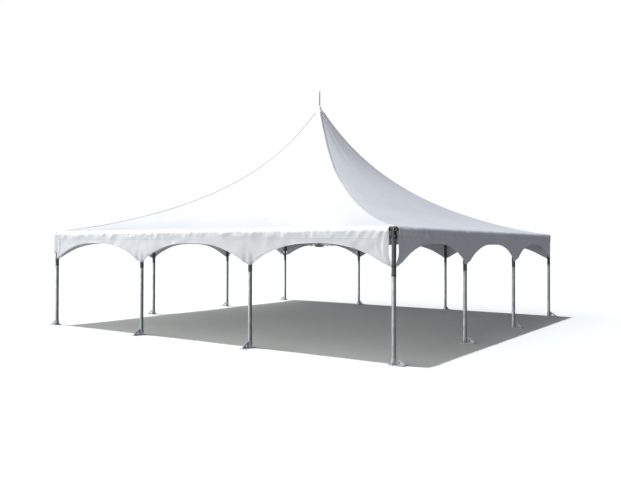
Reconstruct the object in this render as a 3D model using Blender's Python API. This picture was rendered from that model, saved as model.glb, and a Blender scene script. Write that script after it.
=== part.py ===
"""A high-peak marquee: a 9.1 m square fabric top on twelve tube legs, with a mast carried on cross cables.

Metres, +Z up. The origin is on the ground under the peak, and the front faces -Y.
"""

import math

import bmesh
import bpy
from mathutils import Matrix, Vector

# Driving dimensions: ten-foot bays, three to a side
BAY = 3.048
BAYS = 3
EAVE_TUBE_Z = 2.220
PEAK_RISE = 3.300
SPIKE_ABOVE_PEAK = 0.400
GAP = 0.0003

# Tubes
LEG_R = 0.038
LEG_WALL = 0.003
RAIL_R = 0.030
RAIL_WALL = 0.003
MAST_R = 0.038
CABLE_R = 0.005
SLEEVE_WALL = 0.006
SOCKET_DEPTH = 0.135
CORNER_SLEEVE_LENGTH = 0.170
TEE_SLEEVE_LENGTH = 0.300
RAIL_END_INSET = 0.075

# Mast and cable ends
MAST_FOOT_Z = 1.900
MAST_RING_R = 0.085
MAST_RING_T = 0.012
MAST_HEAD_R = 0.050
MAST_HEAD_H = 0.060
MAST_NECK_H = 0.050
SPIKE_R = 0.014
SPIKE_TIP_R = 0.010
LUG_HALF_W = 0.024
LUG_T = 0.014
MAST_LUG_REACH = 0.115
MAST_LUG_H = 0.060
CORNER_LUG_REACH = 0.105
CORNER_LUG_Z = 2.215

# Feet
PLATE_T = 0.010
PLATE_HALF_W = 0.080
PLATE_IN = 0.080
PLATE_OUT = 0.215
FOOT_SLEEVE_H = 0.120
GUSSET_T = 0.010
GUSSET_H = 0.130
GUSSET_TIP_H = 0.022
GUSSET_SHOULDER = 0.024
GUSSET_HOLE = (0.098, 0.046)
GUSSET_HOLE_R = 0.022
SIDE_GUSSET_H = 0.070
SIDE_GUSSET_TIP_H = 0.008
EDGE_MARGIN = 0.005
ANCHOR_OUT = 0.165
ANCHOR_ASIDE = 0.050
ANCHOR_HOLE_R = 0.012

# Fabric, thicker than the real 0.6 mm vinyl so that it makes sound solids
CLOTH_T = 0.008
ARCH_TOP_DROP = 0.275
ARCH_RISE = 0.450
ARCH_POWER = 2.5
TIP_DROP = 0.680
CORNER_SLOT = 0.125
ARCH_STEPS = 14

# The roof's rise from eave (0) to peak (1) along a hip, as the sum of three powers
RISE_LINEAR = 0.20
RISE_SQUARE = 0.51
RISE_SIXTH = 0.29
ROUNDING = 0.20

# Mesh fineness
ROUND_SIDES = 16
SMALL_SIDES = 10
CABLE_SIDES = 8
MERGE = 0.00001
GORE_ACROSS = 12
GORE_UP = 14
GORE_CROWDING = 0.8

# Worked out from those
HALF = BAY * BAYS / 2
LEG_BORE_R = LEG_R + GAP
RAIL_SLEEVE_R = RAIL_R + GAP + SLEEVE_WALL
SOCKET_R = LEG_BORE_R + SLEEVE_WALL
CLOTH_INNER = HALF + SOCKET_R + GAP
CLOTH_HALF = CLOTH_INNER + CLOTH_T
LEG_TOP_Z = EAVE_TUBE_Z - RAIL_SLEEVE_R - GAP
LEG_FOOT_Z = PLATE_T + GAP
EAVE_SLOPE = PEAK_RISE * RISE_LINEAR / CLOTH_HALF
EAVE_Z = (
    EAVE_TUBE_Z
    + RAIL_SLEEVE_R * math.hypot(1, EAVE_SLOPE)
    + CLOTH_T
    + 2 * GAP
    - EAVE_SLOPE * (CLOTH_HALF - HALF)
)
PEAK_Z = EAVE_Z + PEAK_RISE

WHITE_VINYL = ((0.90, 0.91, 0.93), 0.45, 0.0)
BRIGHT_TUBE = ((0.62, 0.63, 0.64), 0.32, 1.0)
CAST_FITTING = ((0.42, 0.43, 0.44), 0.45, 1.0)
ZINC_PLATE = ((0.55, 0.56, 0.57), 0.40, 1.0)
WIRE_ROPE = ((0.38, 0.39, 0.40), 0.40, 1.0)

SIDES = {"front": -90, "right": 0, "back": 90, "left": 180}


# Scene and object helpers
def clear_scene():
    for obj in list(bpy.data.objects):
        bpy.data.objects.remove(obj, do_unlink=True)


def new_collection(name, in_render=True):
    collection = bpy.data.collections.new(name)
    collection.hide_render = not in_render
    bpy.context.scene.collection.children.link(collection)
    return collection


def new_material(name, finish):
    color, roughness, metallic = finish
    material = bpy.data.materials.new(name)
    material.use_nodes = True
    shader = material.node_tree.nodes["Principled BSDF"]
    shader.inputs["Base Color"].default_value = (*color, 1.0)
    shader.inputs["Roughness"].default_value = roughness
    shader.inputs["Metallic"].default_value = metallic
    return material


def mesh_from(shape, name):
    """Turns a bmesh into a mesh whose faces point out."""
    bmesh.ops.recalc_face_normals(shape, faces=shape.faces)
    mesh = bpy.data.meshes.new(name)
    shape.to_mesh(mesh)
    shape.free()
    return mesh


def place(name, mesh, collection, finish, matrix=Matrix.Identity(4)):
    obj = bpy.data.objects.new(name, mesh)
    obj.matrix_world = matrix
    collection.objects.link(obj)
    if finish:
        mesh.materials.clear()
        mesh.materials.append(new_material(name + "_finish", finish))
    mesh.shade_smooth()
    mesh.set_sharp_from_angle(angle=math.radians(35))
    return obj


# Plain shapes, each a closed mesh
def cylinder(radius, start, end, sides=ROUND_SIDES):
    """A round bar from one point to another."""
    shape = bmesh.new()
    start, end = Vector(start), Vector(end)
    run = end - start
    turn = Vector((0, 0, 1)).rotation_difference(run).to_matrix().to_4x4()
    bmesh.ops.create_cone(
        shape,
        cap_ends=True,
        segments=sides,
        radius1=radius,
        radius2=radius,
        depth=run.length,
        matrix=Matrix.Translation((start + end) / 2) @ turn,
    )
    return shape


def box(low, high):
    shape = bmesh.new()
    low, high = Vector(low), Vector(high)
    size = Matrix.Diagonal((*(high - low), 1))
    bmesh.ops.create_cube(shape, size=1, matrix=Matrix.Translation((low + high) / 2) @ size)
    return shape


def upright_plate(outline, thickness):
    """A flat plate in the XZ plane, centred on Y = 0, from its outline's (x, z) corners."""
    shape = bmesh.new()
    corners = [shape.verts.new((x, -thickness / 2, z)) for x, z in outline]
    face = shape.faces.new(corners)
    grown = bmesh.ops.extrude_face_region(shape, geom=[face])
    moved = [part for part in grown["geom"] if isinstance(part, bmesh.types.BMVert)]
    bmesh.ops.translate(shape, verts=moved, vec=(0, thickness, 0))
    return shape


def turned(profile, sides=ROUND_SIDES):
    """A closed (radius, z) profile spun round the Z axis."""
    shape = bmesh.new()
    points = [shape.verts.new((radius, 0, z)) for radius, z in profile]
    edges = [shape.edges.new((points[i - 1], points[i])) for i in range(len(points))]
    bmesh.ops.spin(
        shape,
        geom=points + edges,
        cent=(0, 0, 0),
        axis=(0, 0, 1),
        angle=math.tau,
        steps=sides,
        use_duplicate=False,
    )
    bmesh.ops.remove_doubles(shape, verts=shape.verts, dist=MERGE)
    return shape


def tube(radius, wall, low_z, high_z, sides=ROUND_SIDES):
    inner = radius - wall
    return turned([(radius, high_z), (radius, low_z), (inner, low_z), (inner, high_z)], sides)


def joined(name, added, cut, helpers):
    """One mesh: the first shape with the others joined to it, and then the cutters taken away."""
    base = place(name + "_base", mesh_from(added[0], name), helpers, None)
    steps = [("UNION", shape) for shape in added[1:]] + [("DIFFERENCE", shape) for shape in cut]
    for number, (operation, shape) in enumerate(steps):
        helper_name = f"{name}_{operation.lower()}_{number}"
        helper = place(helper_name, mesh_from(shape, helper_name), helpers, None)
        helper.display_type = "WIRE"
        helper.hide_render = True
        modifier = base.modifiers.new(operation.title(), "BOOLEAN")
        modifier.operation = operation
        modifier.solver = "EXACT"
        modifier.object = helper
    bpy.context.view_layer.update()
    graph = bpy.context.evaluated_depsgraph_get()
    mesh = bpy.data.meshes.new_from_object(base.evaluated_get(graph))
    for obj in list(helpers.objects):
        bpy.data.objects.remove(obj, do_unlink=True)
    return mesh


# Where things stand
def leg_places():
    """Each leg's name, place and the side that its foot points to, in degrees."""
    places = {}
    ends = {"front": ("left", "right"), "right": ("front", "back")}
    ends |= {"back": ("right", "left"), "left": ("back", "front")}
    for side, heading in SIDES.items():
        along = Matrix.Rotation(math.radians(heading + 90), 3, "Z")
        for end, shift in zip(ends[side], (-BAY / 2, BAY / 2)):
            places[f"{side}_{end}"] = (along @ Vector((shift, -HALF, 0)), heading)
    for depth, y in (("front", -HALF), ("back", HALF)):
        for width, x in (("left", -HALF), ("right", HALF)):
            places[f"{depth}_{width}_corner"] = (Vector((x, y, 0)), SIDES[width])
    return places


def corners():
    """Each corner's name with its X and Y signs."""
    return {
        f"{depth}_{width}": (x, y)
        for depth, y in (("front", -1), ("back", 1))
        for width, x in (("left", -1), ("right", 1))
    }


# The frame's pieces
def leg_mesh():
    return mesh_from(tube(LEG_R, LEG_WALL, LEG_FOOT_Z, LEG_TOP_Z), "leg")


def foot_mesh(helpers):
    """A base plate with the leg's sleeve and three gussets. It points along +X."""
    bite = LEG_BORE_R + SLEEVE_WALL / 2
    sink = PLATE_T / 2
    tip = PLATE_OUT - EDGE_MARGIN
    long_outline = [
        (bite, sink),
        (tip, sink),
        (tip, PLATE_T + GUSSET_TIP_H),
        (bite + GUSSET_SHOULDER, GUSSET_H),
        (bite, GUSSET_H),
    ]
    side_tip = PLATE_HALF_W - EDGE_MARGIN
    side_outline = [
        (bite, sink),
        (side_tip, sink),
        (side_tip, PLATE_T + SIDE_GUSSET_TIP_H),
        (bite, SIDE_GUSSET_H),
    ]
    side_gussets = []
    for quarter in (90, -90):
        gusset = upright_plate(side_outline, GUSSET_T)
        turn = Matrix.Rotation(math.radians(quarter), 3, "Z")
        bmesh.ops.rotate(gusset, verts=gusset.verts, matrix=turn)
        side_gussets.append(gusset)
    added = [
        box((-PLATE_IN, -PLATE_HALF_W, 0), (PLATE_OUT, PLATE_HALF_W, PLATE_T)),
        cylinder(SOCKET_R, (0, 0, sink), (0, 0, FOOT_SLEEVE_H)),
        upright_plate(long_outline, GUSSET_T),
        *side_gussets,
    ]
    hole_x, hole_z = GUSSET_HOLE
    cut = [
        cylinder(LEG_BORE_R, (0, 0, PLATE_T), (0, 0, 2 * FOOT_SLEEVE_H)),
        cylinder(GUSSET_HOLE_R, (hole_x, -GUSSET_T, hole_z), (hole_x, GUSSET_T, hole_z), SMALL_SIDES),
    ]
    for aside in (-ANCHOR_ASIDE, ANCHOR_ASIDE):
        above, below = (ANCHOR_OUT, aside, 2 * PLATE_T), (ANCHOR_OUT, aside, -PLATE_T)
        cut.append(cylinder(ANCHOR_HOLE_R, below, above, SMALL_SIDES))
    return joined("foot", added, cut, helpers)


def leg_socket(x, y):
    """The cup over a leg's top, and the bore that the leg stands in."""
    low = LEG_TOP_Z - SOCKET_DEPTH
    cup = cylinder(SOCKET_R, (x, y, low), (x, y, EAVE_TUBE_Z))
    bore = cylinder(LEG_BORE_R, (x, y, low - SOCKET_DEPTH), (x, y, LEG_TOP_Z + GAP))
    return cup, bore


def rail_mesh(helpers):
    """The front side's eave tube, with two tee sleeves and the sockets that take the legs' tops."""
    z = EAVE_TUBE_Z
    end = HALF - RAIL_END_INSET
    added = [cylinder(RAIL_R, (-end, -HALF, z), (end, -HALF, z))]
    cut = [cylinder(RAIL_R - RAIL_WALL, (-HALF, -HALF, z), (HALF, -HALF, z), SMALL_SIDES)]
    for x in (-BAY / 2, BAY / 2):
        reach = TEE_SLEEVE_LENGTH / 2
        added.append(cylinder(RAIL_SLEEVE_R, (x - reach, -HALF, z), (x + reach, -HALF, z)))
        cup, bore = leg_socket(x, -HALF)
        added.append(cup)
        cut.append(bore)
    return joined("rail", added, cut, helpers)


def corner_mesh(helpers):
    """The corner at +X, -Y: two rail sleeves, a leg socket and a lug for the cable."""
    z = EAVE_TUBE_Z
    knee = Vector((HALF, -HALF, z))
    ways = (Vector((-1, 0, 0)), Vector((0, 1, 0)))
    inward = (ways[0] + ways[1]).normalized()
    cup, bore = leg_socket(HALF, -HALF)
    crown = bmesh.new()
    bmesh.ops.create_uvsphere(
        crown,
        u_segments=ROUND_SIDES,
        v_segments=ROUND_SIDES // 2,
        radius=RAIL_SLEEVE_R,
        matrix=Matrix.Translation(knee),
    )
    lug = box((0, -LUG_HALF_W, -LUG_T / 2), (CORNER_LUG_REACH, LUG_HALF_W, LUG_T / 2))
    turn = Matrix.Rotation(math.atan2(inward.y, inward.x), 4, "Z")
    spot = Matrix.Translation((HALF, -HALF, CORNER_LUG_Z))
    bmesh.ops.transform(lug, matrix=spot @ turn, verts=lug.verts)
    added, cut = [cup, crown, lug], [bore]
    for way in ways:
        added.append(cylinder(RAIL_SLEEVE_R, knee, knee + way * CORNER_SLEEVE_LENGTH))
        inner_end = knee + way * (RAIL_END_INSET - GAP)
        cut.append(cylinder(RAIL_R + GAP, inner_end, inner_end + way * CORNER_SLEEVE_LENGTH))
    return joined("corner", added, cut, helpers)


def mast_mesh(helpers):
    """The mast: a foot ring with four cable lugs, a tube, a head that fills the roof's ring and a spike."""
    low = MAST_FOOT_Z
    ring_z = roof_z(MAST_HEAD_R, 0)
    head_r = MAST_HEAD_R - GAP
    tip_z = PEAK_Z + SPIKE_ABOVE_PEAK
    profile = [
        (0, low),
        (MAST_RING_R, low),
        (MAST_RING_R, low + MAST_RING_T),
        (MAST_R, low + MAST_RING_T),
        (MAST_R, ring_z - MAST_HEAD_H - MAST_NECK_H),
        (head_r, ring_z - MAST_HEAD_H),
        (head_r, ring_z),
        (SPIKE_R, PEAK_Z),
        (SPIKE_TIP_R, tip_z - SPIKE_R),
        (0, tip_z),
    ]
    mast = bmesh.new()
    points = [mast.verts.new((radius, 0, z)) for radius, z in profile]
    edges = [mast.edges.new(pair) for pair in zip(points, points[1:])]
    spin = {"cent": (0, 0, 0), "axis": (0, 0, 1), "angle": math.tau, "steps": ROUND_SIDES}
    bmesh.ops.spin(mast, geom=points + edges, **spin)
    bmesh.ops.remove_doubles(mast, verts=mast.verts, dist=MERGE)
    lugs = []
    for quarter in range(4):
        lug_low = (MAST_R / 2, -LUG_T / 2, low + MAST_RING_T / 2)
        lug = box(lug_low, (MAST_LUG_REACH, LUG_T / 2, low + MAST_RING_T / 2 + MAST_LUG_H))
        turn = Matrix.Rotation(math.radians(45 + 90 * quarter), 3, "Z")
        bmesh.ops.rotate(lug, verts=lug.verts, matrix=turn)
        lugs.append(lug)
    return joined("mast", [mast, *lugs], [], helpers)


def cable_mesh():
    """The cable from the mast's foot to the corner at +X, +Y."""
    outward = Vector((1, 1, 0)).normalized()
    start = outward * (MAST_LUG_REACH + GAP)
    start.z = MAST_FOOT_Z + (MAST_RING_T + MAST_LUG_H) / 2
    end = outward * (HALF * math.sqrt(2) - CORNER_LUG_REACH - GAP)
    end.z = CORNER_LUG_Z
    return mesh_from(cylinder(CABLE_R, start, end, CABLE_SIDES), "cable")


# The fabric
def rise(along):
    """The share of the full rise at a share of the way from eave to peak."""
    return RISE_LINEAR * along + RISE_SQUARE * along**2 + RISE_SIXTH * along**6


def roof_z(x, y):
    """The roof's outer surface: square at the eave, rounder towards the peak, creased at the hips."""
    outer, inner = max(abs(x), abs(y)), min(abs(x), abs(y))
    level = outer / CLOTH_HALF
    across = inner / outer if outer else 0
    swell = 1 + ROUNDING * (1 - level) * (1 - across**2)
    return EAVE_Z + PEAK_RISE * rise(1 - level / swell)


def gore_mesh():
    """The front gore: a grid laid over its quarter of the plan, lifted to the roof and thickened downwards."""
    shape = bmesh.new()
    bmesh.ops.create_grid(shape, x_segments=GORE_ACROSS, y_segments=GORE_UP, size=1)
    for vert in shape.verts:
        across = math.sin(vert.co.x * math.pi / 2)
        up = ((vert.co.y + 1) / 2) ** GORE_CROWDING
        out = CLOTH_HALF + (MAST_HEAD_R - CLOTH_HALF) * up
        x = across * (out - GAP)
        vert.co = (x, -out, roof_z(x, -out))
    grown = bmesh.ops.extrude_face_region(shape, geom=list(shape.faces))
    moved = [part for part in grown["geom"] if isinstance(part, bmesh.types.BMVert)]
    bmesh.ops.translate(shape, verts=moved, vec=(0, 0, -CLOTH_T))
    return mesh_from(shape, "gore")


def hem_drop(x):
    """How far the valance's lower edge hangs below the eave at a place along a side."""
    share = ((x + HALF) / BAY) % 1
    from_middle = abs(2 * share - 1)
    return min(ARCH_TOP_DROP + ARCH_RISE * from_middle**ARCH_POWER, TIP_DROP)


def valance_mesh():
    """The front valance, hanging just outside the legs from under the roof's edge."""
    end = CLOTH_HALF - CORNER_SLOT
    top = EAVE_Z - CLOTH_T - GAP
    steps = ARCH_STEPS * BAYS
    hem = [-end + 2 * end * i / steps for i in range(steps + 1)]
    outline = [(-end, top)] + [(x, EAVE_Z - hem_drop(x)) for x in hem] + [(end, top)]
    shape = upright_plate(outline, CLOTH_T)
    bmesh.ops.translate(shape, verts=shape.verts, vec=(0, -CLOTH_HALF + CLOTH_T / 2, 0))
    bmesh.ops.triangulate(shape, faces=[face for face in shape.faces if len(face.verts) > 4])
    return mesh_from(shape, "valance")


def main():
    clear_scene()
    tent = new_collection("high_peak_marquee")
    helpers = new_collection("cutters", in_render=False)

    leg, foot = leg_mesh(), foot_mesh(helpers)
    for name, (spot, heading) in leg_places().items():
        facing = Matrix.Translation(spot) @ Matrix.Rotation(math.radians(heading), 4, "Z")
        place(f"leg_{name}", leg.copy(), tent, BRIGHT_TUBE, facing)
        place(f"foot_{name}", foot.copy(), tent, ZINC_PLATE, facing)

    rail, gore, valance = rail_mesh(helpers), gore_mesh(), valance_mesh()
    for side, heading in SIDES.items():
        turn = Matrix.Rotation(math.radians(heading + 90), 4, "Z")
        place(f"eave_rail_{side}", rail.copy(), tent, BRIGHT_TUBE, turn)
        place(f"roof_gore_{side}", gore.copy(), tent, WHITE_VINYL, turn)
        place(f"valance_{side}", valance.copy(), tent, WHITE_VINYL, turn)

    corner, cable = corner_mesh(helpers), cable_mesh()
    for name, (x, y) in corners().items():
        diagonal = math.atan2(y, x)
        from_front_right = Matrix.Rotation(diagonal + math.pi / 4, 4, "Z")
        from_back_right = Matrix.Rotation(diagonal - math.pi / 4, 4, "Z")
        place(f"corner_fitting_{name}", corner.copy(), tent, CAST_FITTING, from_front_right)
        place(f"cross_cable_{name}", cable.copy(), tent, WIRE_ROPE, from_back_right)

    place("flying_mast", mast_mesh(helpers), tent, BRIGHT_TUBE)


main()
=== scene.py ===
"""The looks of a high-peak frame marquee: a white vinyl top on twelve aluminium legs, with steel fittings.

Metres throughout, in the frame's own axes: +Z up, the front facing -Y, the origin on the ground under the
peak. Anything that repeats round the tent is worked out for the front side and turned to the others.
"""

import logging
import math
from collections.abc import Iterable, Sequence
from dataclasses import dataclass, field
from enum import Enum
from functools import cache

import bmesh
import bpy
import numpy as np
from bpy.types import Material, Mesh, Node, NodeSocket, NodeTree, Object
from mathutils import Matrix, Vector


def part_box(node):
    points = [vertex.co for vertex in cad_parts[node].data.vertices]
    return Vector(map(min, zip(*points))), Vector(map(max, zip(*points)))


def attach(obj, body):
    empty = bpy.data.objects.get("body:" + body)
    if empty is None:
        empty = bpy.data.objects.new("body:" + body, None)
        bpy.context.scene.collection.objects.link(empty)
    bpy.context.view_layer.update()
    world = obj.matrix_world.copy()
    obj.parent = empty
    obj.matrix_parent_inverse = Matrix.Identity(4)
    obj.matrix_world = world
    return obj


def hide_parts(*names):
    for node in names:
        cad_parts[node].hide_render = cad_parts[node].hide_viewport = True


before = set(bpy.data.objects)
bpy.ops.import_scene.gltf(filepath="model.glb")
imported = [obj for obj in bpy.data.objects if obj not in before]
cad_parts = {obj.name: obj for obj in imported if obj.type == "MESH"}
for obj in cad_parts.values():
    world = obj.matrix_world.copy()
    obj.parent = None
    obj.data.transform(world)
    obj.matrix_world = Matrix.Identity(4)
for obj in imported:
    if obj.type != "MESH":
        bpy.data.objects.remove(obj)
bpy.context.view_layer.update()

LOG = logging.getLogger("marquee")
ROUND = 48
SMALL_ROUND = 20
HEX = 6
MERGE = 1e-6
UV_NAME = "UVMap"
IMAGE_WIDTH = 621
QUARTER = math.pi / 2

Array = np.ndarray
Triple = tuple[float, float, float]
Point = Vector | Triple
Line = Iterable[Point]
Outline = Sequence[tuple[float, float]]
Row = tuple[Array, ...]


class Slot(Enum):
    """The record's material slots."""

    VINYL = "white_vinyl"
    TUBE = "frame_tube"
    ZINC = "zinc_plate"
    CAST = "cast_fitting"
    ROPE = "wire_rope"


class Side(Enum):
    """A side of the square, by the quarter turns that bring the front to it."""

    FRONT = 0
    RIGHT = 1
    BACK = 2
    LEFT = 3

    @property
    def label(self) -> str:
        """The side's name as the CAD nodes spell it."""
        return self.name.lower()

    def turn(self) -> Matrix:
        """The turn that takes the front to this side."""
        return spun(self.value * QUARTER)

    def placed(self, x: Array, out: Array, z: Array) -> Array:
        """World points from places along the side, distances out from the centre and heights."""
        plan = {0: (x, -out), 1: (out, x), 2: (-x, out), 3: (-out, -x)}[self.value]
        return np.stack([*plan, z], axis=-1)


# Small tools


def add_node(tree: NodeTree, kind: str, inputs: dict | None = None, **settings: object) -> Node:
    """Adds a node to a tree.

    Args:
        tree: The shader or geometry tree.
        kind: The node's type name.
        inputs: A value, socket or node for each input, by name or place. A node stands for its first output.
        settings: The node's own properties.

    Returns:
        The new node.
    """
    node = tree.nodes.new(kind)
    for name, value in settings.items():
        setattr(node, name, value)
    for key, value in (inputs or {}).items():
        source = value.outputs[0] if isinstance(value, Node) else value
        if isinstance(source, NodeSocket):
            tree.links.new(source, node.inputs[key])
        else:
            node.inputs[key].default_value = source
    return node


def linear(hex_colour: str) -> tuple[float, float, float, float]:
    """A linear colour with full alpha, from an sRGB hex value such as "F3F4F6"."""
    shares = [int(hex_colour[i : i + 2], 16) / 255 for i in (0, 2, 4)]
    return (*[c / 12.92 if c <= 0.04045 else ((c + 0.055) / 1.055) ** 2.4 for c in shares], 1.0)


def smooth(share: Array | float) -> Array | float:
    """An eased step from 0 to 1 as the share goes from 0 to 1."""
    held = np.clip(share, 0, 1)
    return held * held * (3 - 2 * held)


def bell(off: Array, width: Array | float, power: int = 2) -> Array:
    """A bump that is 1 where the offset is zero. A higher power flattens its top."""
    return np.exp(-((off / width) ** power))


def crossed(waves: Iterable[Sequence[float]], x: Array, y: Array) -> Array:
    """The sum of waves that cross each other, each of two lengths and two phases."""
    parts = (np.sin(math.tau * x / wide + a) * np.sin(math.tau * y / tall + b) for wide, tall, a, b in waves)
    return sum(parts)


def spun(angle: float, axis: str = "Z") -> Matrix:
    """A turn about an axis."""
    return Matrix.Rotation(angle, 4, axis)


def shifted(x: float, y: float, z: float) -> Matrix:
    """A shift."""
    return Matrix.Translation((x, y, z))


def towards(start: Point, end: Point) -> Matrix:
    """The placement at start whose Z axis points to end."""
    way = Vector(end) - Vector(start)
    return Matrix.Translation(Vector(start)) @ way.to_track_quat("Z", "Y").to_matrix().to_4x4()


def framed(at: Point, sideways: Vector, upwards: Vector, forward: Vector) -> Matrix:
    """The placement at a point with its X, Y and Z axes along three directions."""
    return Matrix.Translation(at) @ Matrix((sideways, upwards, forward)).transposed().to_4x4()


def link(obj: Object) -> Object:
    """Puts an object in the scene."""
    bpy.context.scene.collection.objects.link(obj)
    return obj


def dropped(*objects: Object) -> None:
    """Takes objects out of the scene."""
    for obj in objects:
        bpy.data.objects.remove(obj, do_unlink=True)


def baked(obj: Object) -> Mesh:
    """Makes a plain mesh of an object's evaluated one, and drops the object.

    Args:
        obj: The object.

    Returns:
        The mesh.
    """
    bpy.context.view_layer.update()
    graph = bpy.context.evaluated_depsgraph_get()
    mesh = bpy.data.meshes.new_from_object(obj.evaluated_get(graph))
    dropped(obj)
    return mesh


def hand_over(piece: Object, slot: Slot, *nodes: str) -> None:
    """Puts a finished piece on the tent's one body and reports it.

    Args:
        piece: The finished object.
        slot: The record's slot that its finish comes from. Not used.
        nodes: The CAD nodes that it stands for.
    """
    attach(piece, "root")
    if nodes:
        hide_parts(*nodes)
    LOG.info("%s: %d faces", piece.name, len(piece.data.polygons))


def stood(pattern: Object, places: dict[str, Matrix], name: str, slot: Slot, node: str) -> None:
    """Hands over a copy of a pattern for each place, and drops the pattern.

    Args:
        pattern: The object to copy.
        places: Each copy's placement, by the end of its name.
        name: How the copies' names start.
        slot: The record's slot that their finish comes from.
        node: How the names of the CAD nodes start.
    """
    for key, place in places.items():
        mesh = pattern.data.copy()
        mesh.name = name + key
        mesh.transform(place)
        hand_over(link(bpy.data.objects.new(name + key, mesh)), slot, node + key)
    dropped(pattern)


# Finishes


@dataclass(frozen=True)
class Finish:
    """A surface with its colour and gloss. A kind of finish adds its pattern."""

    name: str
    colour: str
    roughness: float
    metallic: float = 0.0

    def material(self) -> Material:
        """Makes the Blender material, or finds it once it is made.

        Returns:
            The material.
        """
        found = bpy.data.materials.get(self.name)
        if found:
            return found
        made = bpy.data.materials.new(self.name)
        made.use_nodes = True
        shader = made.node_tree.nodes["Principled BSDF"]
        shader.inputs["Base Color"].default_value = linear(self.colour)
        shader.inputs["Roughness"].default_value = self.roughness
        shader.inputs["Metallic"].default_value = self.metallic
        self.pattern(made.node_tree, shader)
        return made

    def pattern(self, tree: NodeTree, shader: Node) -> None:
        """Adds what varies over the surface. A plain finish has nothing to add."""

    def blend(self, share: Node, other: str) -> dict:
        """A colour blend's inputs, from this finish's colour to another as the share rises."""
        return {0: share, 6: linear(self.colour), 7: linear(other)}

    def gloss(self, source: Node, less: float, more: float, low: float = 0.0, high: float = 1.0) -> dict:
        """A roughness range's inputs, so much less and more than this finish's own as the source rises."""
        return {"Value": source, 1: low, 2: high, 3: self.roughness - less, 4: self.roughness + more}


def dress(
    tree: NodeTree,
    shader: Node,
    tone: dict | None = None,
    rough: dict | None = None,
    bump: dict | None = None,
) -> None:
    """Ends a pattern at the shader.

    Args:
        tree: The material's tree.
        shader: Its shader.
        tone: The inputs of the blend that colours the surface.
        rough: The inputs of the range that its roughness takes.
        bump: The inputs of its relief.
    """
    ends = (
        ("Base Color", "ShaderNodeMix", tone, 2, {"data_type": "RGBA"}),
        ("Roughness", "ShaderNodeMapRange", rough, 0, {}),
        ("Normal", "ShaderNodeBump", bump, 0, {}),
    )
    for name, kind, inputs, place, settings in ends:
        if inputs:
            tree.links.new(add_node(tree, kind, inputs, **settings).outputs[place], shader.inputs[name])


@dataclass(frozen=True)
class CoatedVinyl(Finish):
    """PVC-coated polyester, calendered and heat-welded: soft sheen, faint scrim, packing creases and dust."""

    dusty: str = "ECEDEE"
    scrim: float = 0.004
    crease: float = 0.55
    glow: float = 0.30

    def pattern(self, tree: NodeTree, shader: Node) -> None:
        """Mottles the white, raises the scrim and the packing creases, and lets light through below the fold.

        Args:
            tree: The material's tree.
            shader: Its shader.
        """
        cloth = add_node(tree, "ShaderNodeTexCoord").outputs["UV"]
        cloud = add_node(tree, "ShaderNodeTexNoise", {"Vector": cloth, "Scale": 0.9, "Detail": 4.0})
        share = add_node(tree, "ShaderNodeMapRange", {"Value": cloud, 1: 0.42, 2: 0.78})
        sheen = add_node(tree, "ShaderNodeTexNoise", {"Vector": cloth, "Scale": 5.0, "Detail": 3.0})
        # The scrim's threads lie about 1 mm apart, drawn at 4 mm so that they can show at all.
        wave_in = {"Vector": cloth, "Scale": 1 / self.scrim / 20}
        waves = [add_node(tree, "ShaderNodeTexWave", wave_in, bands_direction=way) for way in "XY"]
        crowns = {i: wave.outputs["Fac"] for i, wave in enumerate(waves)}
        weave = add_node(tree, "ShaderNodeMath", crowns, operation="ADD")
        fine = add_node(tree, "ShaderNodeBump", {"Height": weave, "Strength": 0.06, "Distance": 0.0006})
        bend = add_node(tree, "ShaderNodeTexNoise", {"Vector": cloth, "Scale": 2.2, "Detail": 2.0})
        bent_in = {0: bend.outputs["Color"], 1: (0.35, 0.35, 0.35), 2: cloth}
        bent = add_node(tree, "ShaderNodeVectorMath", bent_in, operation="MULTIPLY_ADD")
        cell_in = {"Vector": bent, "Scale": 1 / self.crease}
        cells = add_node(tree, "ShaderNodeTexVoronoi", cell_in, feature="DISTANCE_TO_EDGE")
        folds = add_node(tree, "ShaderNodeMapRange", {"Value": cells, 1: 0.0, 2: 0.07})
        bump = {"Height": folds, "Strength": 0.22, "Distance": 0.004, "Normal": fine}
        dress(tree, shader, self.blend(share, self.dusty), self.gloss(sheen, 0.05, 0.07), bump)
        # The roof is blockout cloth. The valance, where V is below zero, lets some light through.
        height = add_node(tree, "ShaderNodeSeparateXYZ", {0: cloth}).outputs["Y"]
        thin = add_node(tree, "ShaderNodeMapRange", {"Value": height, 1: -0.03, 2: 0.0, 3: self.glow, 4: 0.0})
        through = add_node(tree, "ShaderNodeBsdfTranslucent", {"Color": linear(self.colour)})
        both = add_node(tree, "ShaderNodeMixShader", {0: thin, 1: shader, 2: through})
        tree.links.new(both.outputs[0], tree.nodes["Material Output"].inputs["Surface"])


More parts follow.
